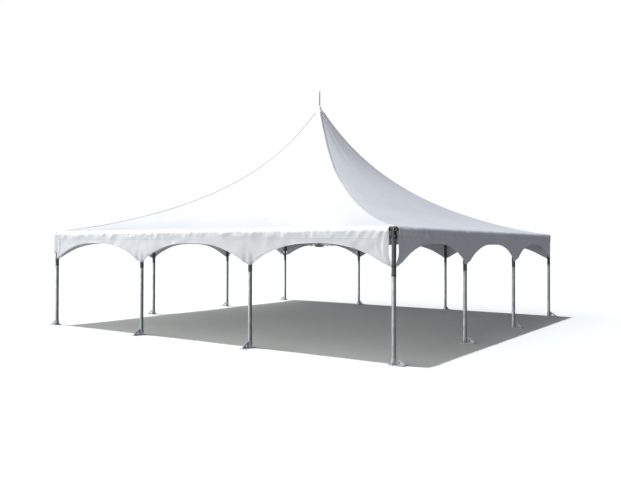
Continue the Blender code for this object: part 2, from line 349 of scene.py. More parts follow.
@dataclass(frozen=True)
class DrawnAluminium(Finish):
    """Mill-finish extruded tube: die lines along its length, a dull clear shine and handling marks."""

    worn: str = "8E9091"
    line: float = 0.0022

    def pattern(self, tree: NodeTree, shader: Node) -> None:
        """Streaks the roughness along the tube and clouds the colour. V runs along the tube.

        Args:
            tree: The material's tree.
            shader: Its shader.
        """
        along = add_node(tree, "ShaderNodeTexCoord").outputs["UV"]
        narrow = add_node(tree, "ShaderNodeMapping", {"Vector": along, "Scale": (1 / self.line, 1.4, 1.0)})
        lines = add_node(tree, "ShaderNodeTexNoise", {"Vector": narrow, "Scale": 1.0, "Detail": 3.0})
        cloud_in = {"Vector": along, "Scale": 7.0, "Detail": 5.0, "Roughness": 0.65}
        cloud = add_node(tree, "ShaderNodeTexNoise", cloud_in)
        share = add_node(tree, "ShaderNodeMapRange", {"Value": cloud, 1: 0.40, 2: 0.74})
        marks = add_node(tree, "ShaderNodeMath", {0: lines, 1: cloud}, operation="ADD")
        bump = {"Height": lines, "Strength": 0.15, "Distance": 0.0004}
        dress(tree, shader, self.blend(share, self.worn), self.gloss(marks, 0.08, 0.12, 0.7, 1.3), bump)


@dataclass(frozen=True)
class HotDipZinc(Finish):
    """Hot-dip galvanised steel: grey crystals of spangle some millimetres across, matt and a bit chalky."""

    dull: str = "A2A6A9"
    spangle: float = 0.011

    def pattern(self, tree: NodeTree, shader: Node) -> None:
        """Gives each crystal its own grey and gloss, and adds the drips' soft lumps.

        Args:
            tree: The material's tree.
            shader: Its shader.
        """
        place = add_node(tree, "ShaderNodeTexCoord").outputs["Object"]
        crystals = add_node(tree, "ShaderNodeTexVoronoi", {"Vector": place, "Scale": 1 / self.spangle})
        grey = add_node(tree, "ShaderNodeSeparateColor", {0: crystals.outputs["Color"]})
        chalk = add_node(tree, "ShaderNodeTexNoise", {"Vector": place, "Scale": 14.0, "Detail": 5.0})
        mixed = add_node(tree, "ShaderNodeMath", {0: grey, 1: chalk}, operation="ADD")
        share = add_node(tree, "ShaderNodeMapRange", {"Value": mixed, 1: 0.35, 2: 1.35})
        bump = {"Height": chalk, "Strength": 0.25, "Distance": 0.0008}
        dress(tree, shader, self.blend(share, self.dull), self.gloss(mixed, 0.10, 0.14, 0.3, 1.4), bump)


@dataclass(frozen=True)
class SandCast(Finish):
    """Sand-cast aluminium: an even grain of about a millimetre, darker in its hollows."""

    hollow: str = "3E4042"
    grain: float = 0.0014

    def pattern(self, tree: NodeTree, shader: Node) -> None:
        """Raises the grain and darkens between the grains.

        Args:
            tree: The material's tree.
            shader: Its shader.
        """
        place = add_node(tree, "ShaderNodeTexCoord").outputs["Object"]
        grain_in = {"Vector": place, "Scale": 1 / self.grain, "Detail": 2.0}
        grain = add_node(tree, "ShaderNodeTexNoise", grain_in)
        cloud = add_node(tree, "ShaderNodeTexNoise", {"Vector": place, "Scale": 22.0, "Detail": 4.0})
        mixed = add_node(tree, "ShaderNodeMath", {0: grain, 1: cloud}, operation="MULTIPLY")
        share = add_node(tree, "ShaderNodeMapRange", {"Value": mixed, 1: 0.15, 2: 0.40})
        tone = {0: share, 6: linear(self.hollow), 7: linear(self.colour)}
        dress(tree, shader, tone, bump={"Height": grain, "Strength": 0.4, "Distance": 0.0005})


@dataclass(frozen=True)
class Smeared(Finish):
    """An even skin, plated, coated or moulded, with fine smears in its gloss."""

    smear: float = 0.006

    def pattern(self, tree: NodeTree, shader: Node) -> None:
        """Varies the gloss in small smears.

        Args:
            tree: The material's tree.
            shader: Its shader.
        """
        place = add_node(tree, "ShaderNodeTexCoord").outputs["Object"]
        smears_in = {"Vector": place, "Scale": 1 / self.smear, "Detail": 3.0}
        smears = add_node(tree, "ShaderNodeTexNoise", smears_in)
        dress(tree, shader, rough=self.gloss(smears, 0.10, 0.15))


@dataclass(frozen=True)
class WovenWebbing(Finish):
    """Woven polyester webbing: ribs across the band, a paler thread at each crown."""

    crown: str = "3A3B3D"
    rib: float = 0.004

    def pattern(self, tree: NodeTree, shader: Node) -> None:
        """Ribs the band across its length. U runs along the band.

        Args:
            tree: The material's tree.
            shader: Its shader.
        """
        along = add_node(tree, "ShaderNodeTexCoord").outputs["UV"]
        # The ribs are about 1.5 mm apart, drawn at 4 mm so that they can show.
        rib_in = {"Vector": along, "Scale": 1 / self.rib / 20}
        ribs = add_node(tree, "ShaderNodeTexWave", rib_in, bands_direction="X").outputs["Fac"]
        bump = {"Height": ribs, "Strength": 0.5, "Distance": 0.0008}
        dress(tree, shader, self.blend(ribs, self.crown), bump=bump)


# The cloth: clean white with a low sheen, so that it reads by its folds and its shade.
VINYL = CoatedVinyl("pvc_coated_polyester_calendered", "F5F6F8", 0.44)
# Hem, band and doubled peak: the same white a touch flatter, with short creases of its own.
WELD_TAPE = CoatedVinyl("pvc_tape_heat_welded", "F3F4F6", 0.42, crease=0.2)
# Hips: soft grey tape, partly painted shade: its grey draws the shaded line down the roof's left edge and the
# near hip.
HIP_TAPE_SHADE = CoatedVinyl("pvc_tape_hip_reinforced", "ABAFB5", 0.46, crease=0.2)
# Legs and rails: pale dull metal with one long streak of light down each tube.
TUBE_METAL = DrawnAluminium("aluminium_tube_mill_finish", "B4B6B7", 0.42, 1.0)
# Feet: light mottled grey, brighter than the legs.
ZINC_STEEL = HotDipZinc("steel_hot_dip_galvanised", "CDD0D2", 0.50, 0.2)
# The mast's foot: plain light paint in the shade of the roof.
WHITE_COAT = Smeared("steel_powder_coated_white", "E4E6E7", 0.42)
# Corner fittings and tees: dark and grainy, the darkest large spots under the eave.
CAST_METAL = SandCast("aluminium_sand_cast", "5F6163", 0.50, 1.0)
# Bolts, buckles, shackles and turnbuckles: small bright points.
BOLT_STEEL = Smeared("steel_bright_zinc_plated", "C9CBCD", 0.28, 1.0)
# The spike: a near-black line above the peak.
SPIKE_STEEL = Smeared("steel_spike_blackened", "16171B", 0.70)
# Cross cables: mid grey with the glitter of fine strands.
ROPE_STEEL = HotDipZinc("wire_rope_drawn_galvanised", "9FA3A6", 0.42, 1.0, spangle=0.003)
# Weld beads: a duller, darker ripple along the joints.
WELD_METAL = Smeared("steel_weld_bead_galvanised", "8C9093", 0.50, 1.0)
# Eyelets: warm bright rings beside the ties.
BRASS = Smeared("brass_eyelet_nickel_plated", "C2BFB6", 0.30, 1.0)
# Ties: black bands with a fine rib.
WEBBING = WovenWebbing("polyester_webbing_woven_black", "17181A", 0.75)
# Leg-top sleeves: dark matt grey, painted shade for the valance's shadow on the tops of the legs.
LEG_TOP_SHADE = Smeared("rubber_sleeve_moulded", "5A5B5D", 0.60)


# Geometry node trees


class Trees:
    """The geometry node trees that make what repeats or follows a path."""

    @staticmethod
    def opened(name: str, **kinds: str) -> tuple[NodeTree, dict[str, NodeSocket]]:
        """Starts a tree with a geometry input and output and a finish.

        Args:
            name: The tree's name.
            kinds: Each further input's socket type, by its name.

        Returns:
            The tree, and the sockets of its inputs by name.
        """
        tree = bpy.data.node_groups.new(name, "GeometryNodeTree")
        for label, kind in {"Geometry": "Geometry", **kinds, "Finish": "Material"}.items():
            tree.interface.new_socket(label, in_out="INPUT", socket_type=f"NodeSocket{kind}")
        tree.interface.new_socket("Geometry", in_out="OUTPUT", socket_type="NodeSocketGeometry")
        given = tree.nodes.new("NodeGroupInput").outputs
        return tree, {socket.name: socket for socket in given if socket.name}

    @staticmethod
    def closed(tree: NodeTree, shape: Node, finish: NodeSocket) -> NodeTree:
        """Ends a tree: instances made real, shaded smooth, and the finish set.

        Args:
            tree: The tree.
            shape: The node that makes its geometry.
            finish: The material's socket.

        Returns:
            The same tree.
        """
        real = add_node(tree, "GeometryNodeRealizeInstances", {0: shape})
        shaded = add_node(tree, "GeometryNodeSetShadeSmooth", {0: real})
        dressed = add_node(tree, "GeometryNodeSetMaterial", {0: shaded, "Material": finish})
        add_node(tree, "NodeGroupOutput", {0: dressed})
        return tree

    @classmethod
    def barred(
        cls,
        tree: NodeTree,
        path: Node,
        sides: object,
        radius: object,
        finish: NodeSocket,
    ) -> NodeTree:
        """Ends a tree with a round bar along each curve.

        Args:
            tree: The tree.
            path: The node that makes the curves.
            sides: How many flats the bar has round, or the socket that says so.
            radius: Its radius, or its socket.
            finish: The material's socket.

        Returns:
            The same tree.
        """
        ring = add_node(tree, "GeometryNodeCurvePrimitiveCircle", {"Resolution": sides, "Radius": radius})
        bar_in = {"Curve": path, "Profile Curve": ring, "Fill Caps": True}
        return cls.closed(tree, add_node(tree, "GeometryNodeCurveToMesh", bar_in), finish)

    @classmethod
    @cache
    def sweep(cls) -> NodeTree:
        """A round bar along each line of the mesh.

        Returns:
            The tree. Its inputs are Radius, Sides and Finish.
        """
        tree, given = cls.opened("sweep", Radius="Float", Sides="Int")
        line = add_node(tree, "GeometryNodeMeshToCurve", {0: given["Geometry"]})
        return cls.barred(tree, line, given["Sides"], given["Radius"], given["Finish"])

    @classmethod
    @cache
    def beads(cls) -> NodeTree:
        """Overlapping lumps along each line, as a weld leaves.

        Returns:
            The tree. Its inputs are Radius, Pitch, Seed and Finish.
        """
        tree, given = cls.opened("beads", Radius="Float", Pitch="Float", Seed="Int")
        line = add_node(tree, "GeometryNodeMeshToCurve", {0: given["Geometry"]})
        spots_in = {0: line, "Length": given["Pitch"]}
        spots = add_node(tree, "GeometryNodeResampleCurve", spots_in, mode="LENGTH")
        lump = add_node(tree, "GeometryNodeMeshIcoSphere", {"Radius": given["Radius"], "Subdivisions": 1})
        size_in = {2: 0.85, 3: 1.2, "Seed": given["Seed"]}
        size = add_node(tree, "FunctionNodeRandomValue", size_in, data_type="FLOAT")
        set_in = {"Points": spots, "Instance": lump, "Scale": size.outputs[1]}
        return cls.closed(tree, add_node(tree, "GeometryNodeInstanceOnPoints", set_in), given["Finish"])

    @classmethod
    @cache
    def fasteners(cls) -> NodeTree:
        """One piece stood on each point, its Z axis along the point's aim.

        Returns:
            The tree. Its inputs are Piece and Finish.
        """
        tree, given = cls.opened("fasteners", Piece="Object")
        piece = add_node(tree, "GeometryNodeObjectInfo", {"Object": given["Piece"]})
        aim = add_node(tree, "GeometryNodeInputNamedAttribute", {"Name": "aim"}, data_type="FLOAT_VECTOR")
        turn = add_node(tree, "FunctionNodeAlignRotationToVector", {"Vector": aim}, axis="Z")
        set_in = {"Points": given["Geometry"], "Instance": piece.outputs["Geometry"], "Rotation": turn}
        return cls.closed(tree, add_node(tree, "GeometryNodeInstanceOnPoints", set_in), given["Finish"])

    @classmethod
    @cache
    def rope(cls) -> NodeTree:
        """Strands laid round each line.

        Returns:
            The tree. Its inputs are Strands, Points, Lay, Thick, Orbit, Across, Over and Finish.
        """
        kinds = dict.fromkeys(("Strands", "Points"), "Int")
        kinds |= dict.fromkeys(("Lay", "Thick", "Orbit"), "Float")
        tree, given = cls.opened("rope", **kinds, **dict.fromkeys(("Across", "Over"), "Vector"))
        line = add_node(tree, "GeometryNodeMeshToCurve", {0: given["Geometry"]})
        fine = add_node(tree, "GeometryNodeResampleCurve", {0: line, "Count": given["Points"]}, mode="COUNT")
        many_in = {0: fine, "Amount": given["Strands"]}
        many = add_node(tree, "GeometryNodeDuplicateElements", many_in, domain="SPLINE")
        length = add_node(tree, "GeometryNodeSplineParameter").outputs["Length"]
        turns = add_node(tree, "ShaderNodeMath", {0: length, 1: given["Lay"]}, operation="DIVIDE")
        step_in = {0: many.outputs["Duplicate Index"], 1: given["Strands"]}
        step = add_node(tree, "ShaderNodeMath", step_in, operation="DIVIDE")
        whole = add_node(tree, "ShaderNodeMath", {0: turns, 1: step}, operation="ADD")
        angle = add_node(tree, "ShaderNodeMath", {0: whole, 1: math.tau}, operation="MULTIPLY")
        pushes = {}
        for wave, way in (("COSINE", "Across"), ("SINE", "Over")):
            swing = add_node(tree, "ShaderNodeMath", {0: angle}, operation=wave)
            reach = add_node(tree, "ShaderNodeMath", {0: swing, 1: given["Orbit"]}, operation="MULTIPLY")
            push_in = {0: given[way], "Scale": reach}
            pushes[len(pushes)] = add_node(tree, "ShaderNodeVectorMath", push_in, operation="SCALE")
        offset = add_node(tree, "ShaderNodeVectorMath", pushes, operation="ADD")
        laid_in = {"Geometry": many.outputs["Geometry"], "Offset": offset}
        laid = add_node(tree, "GeometryNodeSetPosition", laid_in)
        return cls.barred(tree, laid, 5, given["Thick"], given["Finish"])


def grown(source: Mesh, tree: NodeTree, **values: object) -> Mesh:
    """Runs a tree on a mesh.

    Args:
        source: The lines or points that the tree works on.
        tree: One of the trees above.
        values: The tree's inputs.

    Returns:
        The plain mesh that comes out.
    """
    obj = link(bpy.data.objects.new("growing", source))
    modifier = obj.modifiers.new("Grow", "NODES")
    modifier.node_group = tree
    sockets = {item.name: item.identifier for item in tree.interface.items_tree if item.in_out == "INPUT"}
    for name, value in values.items():
        modifier[sockets[name]] = value
    return baked(obj)


def lines_mesh(lines: Iterable[Line], closed: bool = False) -> Mesh:
    """Makes a mesh of bare edges.

    Args:
        lines: The points of each run of edges.
        closed: Whether each run's end joins its start.

    Returns:
        The mesh.
    """
    points, edges = [], []
    for line in lines:
        first = len(points)
        points.extend(tuple(point) for point in line)
        edges.extend((i, i + 1) for i in range(first, len(points) - 1))
        if closed:
            edges.append((len(points) - 1, first))
    mesh = bpy.data.meshes.new("lines")
    mesh.from_pydata(points, edges, [])
    return mesh


def aimed_mesh(spots: Sequence[tuple[Point, Point]]) -> Mesh:
    """Makes a mesh of bare points, each with the direction that a fastener on it faces.

    Args:
        spots: Each point and its direction.

    Returns:
        The mesh.
    """
    mesh = bpy.data.meshes.new("spots")
    mesh.from_pydata([tuple(point) for point, _ in spots], [], [])
    aim = mesh.attributes.new("aim", "FLOAT_VECTOR", "POINT")
    aim.data.foreach_set("vector", [share for _, way in spots for share in way])
    return mesh


def ring_line(radius: float, place: Matrix, count: int = 32) -> list[Vector]:
    """The points of a circle about a placement's Z axis."""
    return [place @ Vector((x, y, 0)) for x, y in circle(0, 0, radius, count)]


# Mesh making


class Workpiece:
    """One mesh in the making, put together from turned, cut and swept shapes that each have a finish."""

    def __init__(self, *finishes: Finish) -> None:
        """Starts an empty piece.

        Args:
            finishes: Its finishes in order.
        """
        self.finishes = finishes
        self.shape = bmesh.new()
        self.shape.loops.layers.uv.new(UV_NAME)

    def point(self, spot: Point) -> bmesh.types.BMVert:
        """Adds a point."""
        return self.shape.verts.new(spot)

    def quad(
        self,
        corners: Sequence[bmesh.types.BMVert],
        marks: Outline,
        scale: tuple[float, float],
        finish: int,
    ) -> None:
        """Adds a face.

        Args:
            corners: Its points in order.
            marks: Their places on the flat.
            scale: What a step along U and a step along V measure.
            finish: Which of the finishes it has.
        """
        face = self.shape.faces.new(corners)
        face.material_index = finish
        layer = self.shape.loops.layers.uv[UV_NAME]
        for corner, (u, v) in zip(face.loops, marks):
            corner[layer].uv = (u * scale[0], v * scale[1])

    def turned(
        self,
        profile: Outline,
        place: Matrix = Matrix.Identity(4),
        finish: int = 0,
        sides: int = ROUND,
        loop: bool = False,
    ) -> "Workpiece":
        """Adds a shape turned about a placement's Z axis.

        Args:
            profile: Its (radius, height) points. U runs round the shape and V along the profile.
            place: Where it stands.
            finish: Which of the finishes it has.
            sides: How many flats it has round.
            loop: Whether the profile's last point joins its first, as on a tube.

        Returns:
            The piece itself.
        """
        turns = [math.tau * i / sides for i in range(sides)]
        rings = [
            [self.point(place @ Vector((r * math.cos(a), r * math.sin(a), z))) for a in turns]
            for r, z in profile
        ]
        travelled = [0.0]
        for i, spot in enumerate(profile):
            travelled.append(travelled[-1] + math.dist(spot, profile[(i + 1) % len(profile)]))
        scale = math.tau * max(r for r, _ in profile) / sides, 1
        for j in range(len(rings) if loop else len(rings) - 1):
            low, high = rings[j], rings[(j + 1) % len(rings)]
            for i in range(sides):
                k = (i + 1) % sides
                marks = [(i + a, travelled[j + b]) for a, b in ((0, 0), (1, 0), (1, 1), (0, 1))]
                self.quad((low[i], low[k], high[k], high[i]), marks, scale, finish)
        bmesh.ops.remove_doubles(self.shape, verts=[vert for ring in rings for vert in ring], dist=MERGE)
        return self

    def added(self, mesh: Mesh, place: Matrix = Matrix.Identity(4), finish: int = 0) -> "Workpiece":
        """Adds a plain mesh, and removes it.

        Args:
            mesh: The mesh.
            place: Where it stands.
            finish: Which of the finishes it has.

        Returns:
            The piece itself.
        """
        before, faces_before = set(self.shape.verts), set(self.shape.faces)
        self.shape.from_mesh(mesh)
        new = [vert for vert in self.shape.verts if vert not in before]
        bmesh.ops.transform(self.shape, matrix=place, verts=new)
        for face in self.shape.faces:
            if face not in faces_before:
                face.material_index = finish
        bpy.data.meshes.remove(mesh)
        return self

    def grow(self, source: Mesh, tree: NodeTree, finish: int, **values: object) -> "Workpiece":
        """Adds what a tree makes of a mesh."""
        mesh = grown(source, tree, Finish=self.finishes[finish].material(), **values)
        return self.added(mesh, finish=finish)

    def swept(
        self, lines: Iterable[Line], radius: float, finish: int = 0, sides: int = 12, closed: bool = False
    ) -> "Workpiece":
        """Adds a round bar along each line."""
        return self.grow(lines_mesh(lines, closed), Trees.sweep(), finish, Radius=radius, Sides=sides)

    def welded(self, lines: Sequence[Line], radius: float, finish: int, closed: bool = False) -> "Workpiece":
        """Adds a weld's row of lumps along each line."""
        sizes = {"Radius": radius, "Pitch": radius * 1.1, "Seed": len(lines)}
        return self.grow(lines_mesh(lines, closed), Trees.beads(), finish, **sizes)

    def fastened(self, spots: Sequence[tuple[Point, Point]], pattern: Object, finish: int) -> "Workpiece":
        """Adds a fastener at each spot, from the pattern object."""
        return self.grow(aimed_mesh(spots), Trees.fasteners(), finish, Piece=pattern)

    def finished(self, name: str, crease_deg: float = 35) -> Object:
        """Makes the object, with its faces turned out.

        Args:
            name: Its name.
            crease_deg: The angle past which its edges are sharp.

        Returns:
            The object.
        """
        bmesh.ops.recalc_face_normals(self.shape, faces=self.shape.faces)
        mesh = bpy.data.meshes.new(name)
        self.shape.to_mesh(mesh)
        self.shape.free()
        for finish in self.finishes:
            mesh.materials.append(finish.material())
        mesh.shade_smooth()
        mesh.set_sharp_from_angle(angle=math.radians(crease_deg))
        return link(bpy.data.objects.new(name, mesh))


def cut_plate(outlines: Sequence[Outline], thickness: float, bevel: float = 0.001) -> Mesh:
    """Cuts a flat plate in the XY plane, centred on Z = 0.

    Args:
        outlines: Its outer edge, then any holes.
        thickness: Its full thickness.
        bevel: How far its edges are eased.

    Returns:
        A closed mesh.
    """
    curve = bpy.data.curves.new("plate", "CURVE")
    curve.dimensions = "2D"
    curve.fill_mode = "BOTH"
    curve.extrude = thickness / 2 - bevel
    curve.bevel_depth = bevel
    curve.offset = -bevel
    curve.bevel_resolution = 1
    for outline in outlines:
        spline = curve.splines.new("POLY")
        spline.points.add(len(outline) - 1)
        for spot, (x, y) in zip(spline.points, outline):
            spot.co = (x, y, 0, 1)
        spline.use_cyclic_u = True
    mesh = baked(link(bpy.data.objects.new("plate", curve)))
    shape = bmesh.new()
    shape.from_mesh(mesh)
    bmesh.ops.remove_doubles(shape, verts=shape.verts, dist=MERGE * 10)
    shape.to_mesh(mesh)
    shape.free()
    return mesh


def circle(x: float, y: float, radius: float, count: int = 28) -> list[tuple[float, float]]:
    """A round outline."""
    turns = [math.tau * i / count for i in range(count)]
    return [(x + radius * math.cos(a), y + radius * math.sin(a)) for a in turns]


def box(x0: float, y0: float, x1: float, y1: float) -> list[tuple[float, float]]:
    """A rectangular outline."""
    return [(x0, y0), (x1, y0), (x1, y1), (x0, y1)]


def eased(corners: Outline, radius: float, steps: int = 5) -> list[tuple[float, float]]:
    """Rounds off an outline's corners by smooth curves.

    Args:
        corners: The outline.
        radius: How far from a corner its curve starts.
        steps: How many pieces each curve has.

    Returns:
        The rounded outline.
    """
    made = []
    for i, corner in enumerate(corners):
        here = Vector(corner)
        back, ahead = Vector(corners[i - 1]) - here, Vector(corners[(i + 1) % len(corners)]) - here
        start, end = (here + way.normalized() * min(radius, way.length / 2) for way in (back, ahead))
        for step in range(steps + 1):
            share = step / steps
            spot = start * (1 - share) ** 2 + here * 2 * share * (1 - share) + end * share**2
            made.append((spot.x, spot.y))
    return made


def tube(inner: float, outer: float, start: float, end: float, ease: float) -> list[tuple[float, float]]:
    """Draws a tube's half section, its outer rims eased.

    Args:
        inner: Its bore's radius.
        outer: Its outer radius.
        start: The height of its first end.
        end: The height of its other end.
        ease: How far the rims are eased.

    Returns:
        The (radius, height) points, from the inner start to the inner end.
    """
    rise = math.copysign(ease, end - start)
    rims = [(outer - ease, start), (outer, start + rise), (outer, end - rise), (outer - ease, end)]
    return [(inner, start), *rims, (inner, end)]


# The tent's sizes


@dataclass(frozen=True)
class Layout:
    """The sizes that the pieces share. The driving ones are read off the frame."""

    half: float
    bay: float
    leg_r: float
    leg_foot_z: float
    leg_top_z: float
    cloth_half: float
    eave_z: float
    tip_z: float
    rail_z: float = 2.220
    rail_r: float = 0.030
    sleeve_r: float = 0.0363
    socket_r: float = 0.0443
    socket_low: float = 2.0484
    bore_gap: float = 0.0003
    peak_rise: float = 3.300
    spike: float = 0.400
    slot: float = 0.125
    cloth_t: float = 0.008

    @classmethod
    def from_frame(cls) -> "Layout":
        """Reads the driving sizes off the CAD nodes' boxes.

        Returns:
            The sizes.
        """
        corner_low, corner_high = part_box("leg_front_right_corner")
        side_low, side_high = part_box("leg_front_right")
        return cls(
            half=(corner_low.x + corner_high.x) / 2,
            bay=side_low.x + side_high.x,
            leg_r=(corner_high.x - corner_low.x) / 2,
            leg_foot_z=corner_low.z,
            leg_top_z=corner_high.z,
            cloth_half=-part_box("valance_front")[0].y,
            eave_z=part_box("roof_gore_front")[0].z + cls.cloth_t,
            tip_z=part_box("flying_mast")[1].z,
        )

    @property
    def valance_end(self) -> float:
        """Where a valance stops short of the corner."""
        return self.cloth_half - self.slot

    @property
    def inner_legs(self) -> tuple[float, float]:
        """Where the two legs between the corners stand along a side."""
        return -self.bay / 2, self.bay / 2

    def legs(self) -> dict[str, Matrix]:
        """Places the legs.

        Returns:
            Each leg's placement by its name. Its X axis is the way its foot points.
        """
        ends = (("left", "right"), ("front", "back"), ("right", "left"), ("back", "front"))
        made = {}
        for side, names in zip(Side, ends):
            for name, along in zip(names, self.inner_legs):
                made[f"{side.label}_{name}"] = side.turn() @ shifted(along, -self.half, 0) @ spun(-QUARTER)
        for name, (x, y) in self.corners().items():
            spot = shifted(x * self.half, y * self.half, 0)
            made[f"{name}_corner"] = spot @ spun(0 if x > 0 else math.pi)
        return made

    @staticmethod
    def corners() -> dict[str, tuple[int, int]]:
        """Each corner's X and Y signs by its name."""
        return {"front_left": (-1, -1), "front_right": (1, -1), "back_left": (-1, 1), "back_right": (1, 1)}


# The cloth


@dataclass(frozen=True)
class Crease:
    """One pinched ridge that runs down across the fold at the eave, and leans and widens as it goes."""

    at: float
    width: float
    height: float
    lean: float
    up: float
    down: float

    def relief(self, x: Array, s: Array) -> Array:
        """Works out how far it lifts the cloth.

        Args:
            x: Places along the side.
            s: Distances up from the fold.

        Returns:
            The lift at each place.
        """
        spread = self.width * (1 + 1.4 * np.clip(-s / self.down, 0, 1))
        off = (x - self.at - self.lean * s) / spread
        return self.height * bell(s, np.where(s > 0, self.up, self.down)) / (1 + off**2) ** 2


@dataclass(frozen=True)
class Puff:
    """One soft bulge where slack cloth hangs over the eave."""

    at: float
    width: float
    low: float
    tall: float
    height: float

    def relief(self, x: Array, s: Array) -> Array:
        """How far it lifts the cloth at places x along the side and distances s up from the fold."""
        return self.height * np.exp(-(((x - self.at) / self.width) ** 2) - ((s + self.low) / self.tall) ** 2)


@dataclass
class ClothRelief:
    """The folds, sway and pull of one side's cloth, measured out from its smooth shape.

    A corner crease is (distance from the valance's end, height). A roll, a soft ridge down the edge of a
    slot, is (distance from the end, further at its middle, width, height).
    """

    layout: Layout
    seed: int
    puffs: int = 80
    corner_creases: Outline = ((0.10, 0.013), (0.24, 0.013), (0.43, 0.011), (0.68, 0.009), (0.98, 0.007))
    rolls: tuple[tuple[float, ...], ...] = (
        (0.030, 0.060, 0.022, 0.015),
        (0.085, 0.070, 0.020, -0.008),
        (0.120, 0.100, 0.026, 0.007),
    )
    sway: float = 0.0011
    fan_rays: int = 7
    bow_depth: float = 0.52
    fan: float = 0.0042
    tip_depth: float = 0.64
    streak: float = 0.0016
    swell: float = 0.0022
    corner_fan: float = 0.005
    corner_rays: int = 13
    creases: list[Crease | Puff] = field(default_factory=list)

    def __post_init__(self) -> None:
        """Draws the side's creases and waves, always the same for a seed."""
        draw = np.random.default_rng(self.seed)
        end = self.layout.valance_end
        x = -end + 0.06
        while x < end - 0.05:
            near_end = smooth(1 - (end - abs(x)) / 1.1)
            lean = 0.85 * near_end * np.sign(x) + draw.normal(0, 0.45) * (1 - 0.6 * near_end)
            height = draw.uniform(0.003, 0.010) * draw.choice([1, 1, -0.5])
            reach = draw.uniform(0.03, 0.09), draw.uniform(0.06, 0.17)
            self.creases.append(Crease(x, draw.uniform(0.020, 0.042), height, lean, *reach))
            x += draw.uniform(0.07, 0.20)
        for sign in (-1, 1):
            for away, height in self.corner_creases:
                at = sign * (end - away - draw.uniform(0, 0.05))
                lean = sign * draw.uniform(0.7, 1.15)
                self.creases.append(Crease(at, draw.uniform(0.022, 0.032), height, lean, 0.07, 0.20))
        for at in draw.uniform(-end + 0.3, end - 0.3, 8):
            self.creases.append(Crease(at, draw.uniform(0.014, 0.020), -0.008, 0, 0.03, 0.03))
        for at in draw.uniform(-end, end, self.puffs):
            wide, tall = draw.uniform(0.035, 0.120), draw.uniform(0.024, 0.038)
            self.creases.append(Puff(at, wide, draw.uniform(0.0, 0.11), tall, draw.uniform(0.003, 0.010)))

        def drawn(count: int, *spans: tuple[float, float]) -> list[list[float]]:
            """So many waves, each with a number from every span and two phases."""
            return [[draw.uniform(*span) for span in (*spans, turn, turn)] for _ in range(count)]

        turn = (0, math.tau)
        self.waves = drawn(9, (0.3, 1.1), (0.25, 0.9))
        self.streaks = [(draw.integers(5, 19), draw.uniform(*turn), draw.uniform(0.3, 1)) for _ in range(7)]
        self.swells = drawn(6, (1.3, 3.2), (1.8, 5.0))

    def near_fold(self, x: Array, s: Array) -> Array:
        """The ridges across the fold and the small waves of the hanging cloth."""
        total = sum(crease.relief(x, s) for crease in self.creases)
        return total + crossed(self.waves, x, s) * (np.where(s > 0, np.exp(-s / 0.25), 1.0) * self.sway)

    def tips(self, x: Array, s: Array) -> Array:
        """Works out the creases that fan out from each tied tip, and the rolls beside the corner slots.

        Args:
            x: Places along the side.
            s: Distances up from the fold, which are below zero on the valance.

        Returns:
            The lift at each place.
        """
        end = self.layout.valance_end
        total = np.zeros_like(x)
        for at in (-end, *self.layout.inner_legs, end):
            dx, ds = x - at, s + self.tip_depth
            away = np.hypot(dx, ds)
            rays = np.sin(self.fan_rays * np.arctan2(dx, np.abs(ds) + 0.02) + at)
            total += self.fan * rays * np.exp(-away / 0.22) * (1 - np.exp(-away / 0.05)) * (s < 0)
        bow = np.sin(math.pi * np.clip(-s / self.bow_depth, 0, 1))
        for near, bowed, width, height in self.rolls:
            ridge = bell(end - np.abs(x) - near - bowed * bow, width)
            total += height * ridge * smooth(-s / 0.03) * (1 - 0.5 * smooth(-s / 0.6))
        return total

    def roof(self, x: Array, h: Array, s: Array) -> Array:
        """Works out the fans at the eave corners, the streaks from the peak and the membrane's slow swells.

        Args:
            x: Places along the side.
            h: Half widths of the rings that the places are on.
            s: Distances up from the fold.

        Returns:
            The lift at each place.
        """
        share = np.clip(x / np.maximum(h, 0.01), -1, 1)
        streak = sum(size * np.sin(n * share * 1.6 + a) for n, a, size in self.streaks)
        streak = streak * self.streak * bell(h - 0.75, 0.75) * smooth(h / 0.3)
        swell = crossed(self.swells, x, h)
        fans = np.zeros_like(x)
        for sign in (-1, 1):
            dx, dh = self.layout.cloth_half - sign * x, self.layout.cloth_half - h
            away = np.hypot(dx, dh)
            rays = np.sin(self.corner_rays * np.arctan2(dh, np.abs(dx) + 0.01))
            fans += self.corner_fan * rays * np.exp(-away / 0.5) * (1 - np.exp(-away / 0.10))
        return (streak + swell * self.swell * smooth(s / 0.4) + fans * (s > 0)) * (1 - share**4)


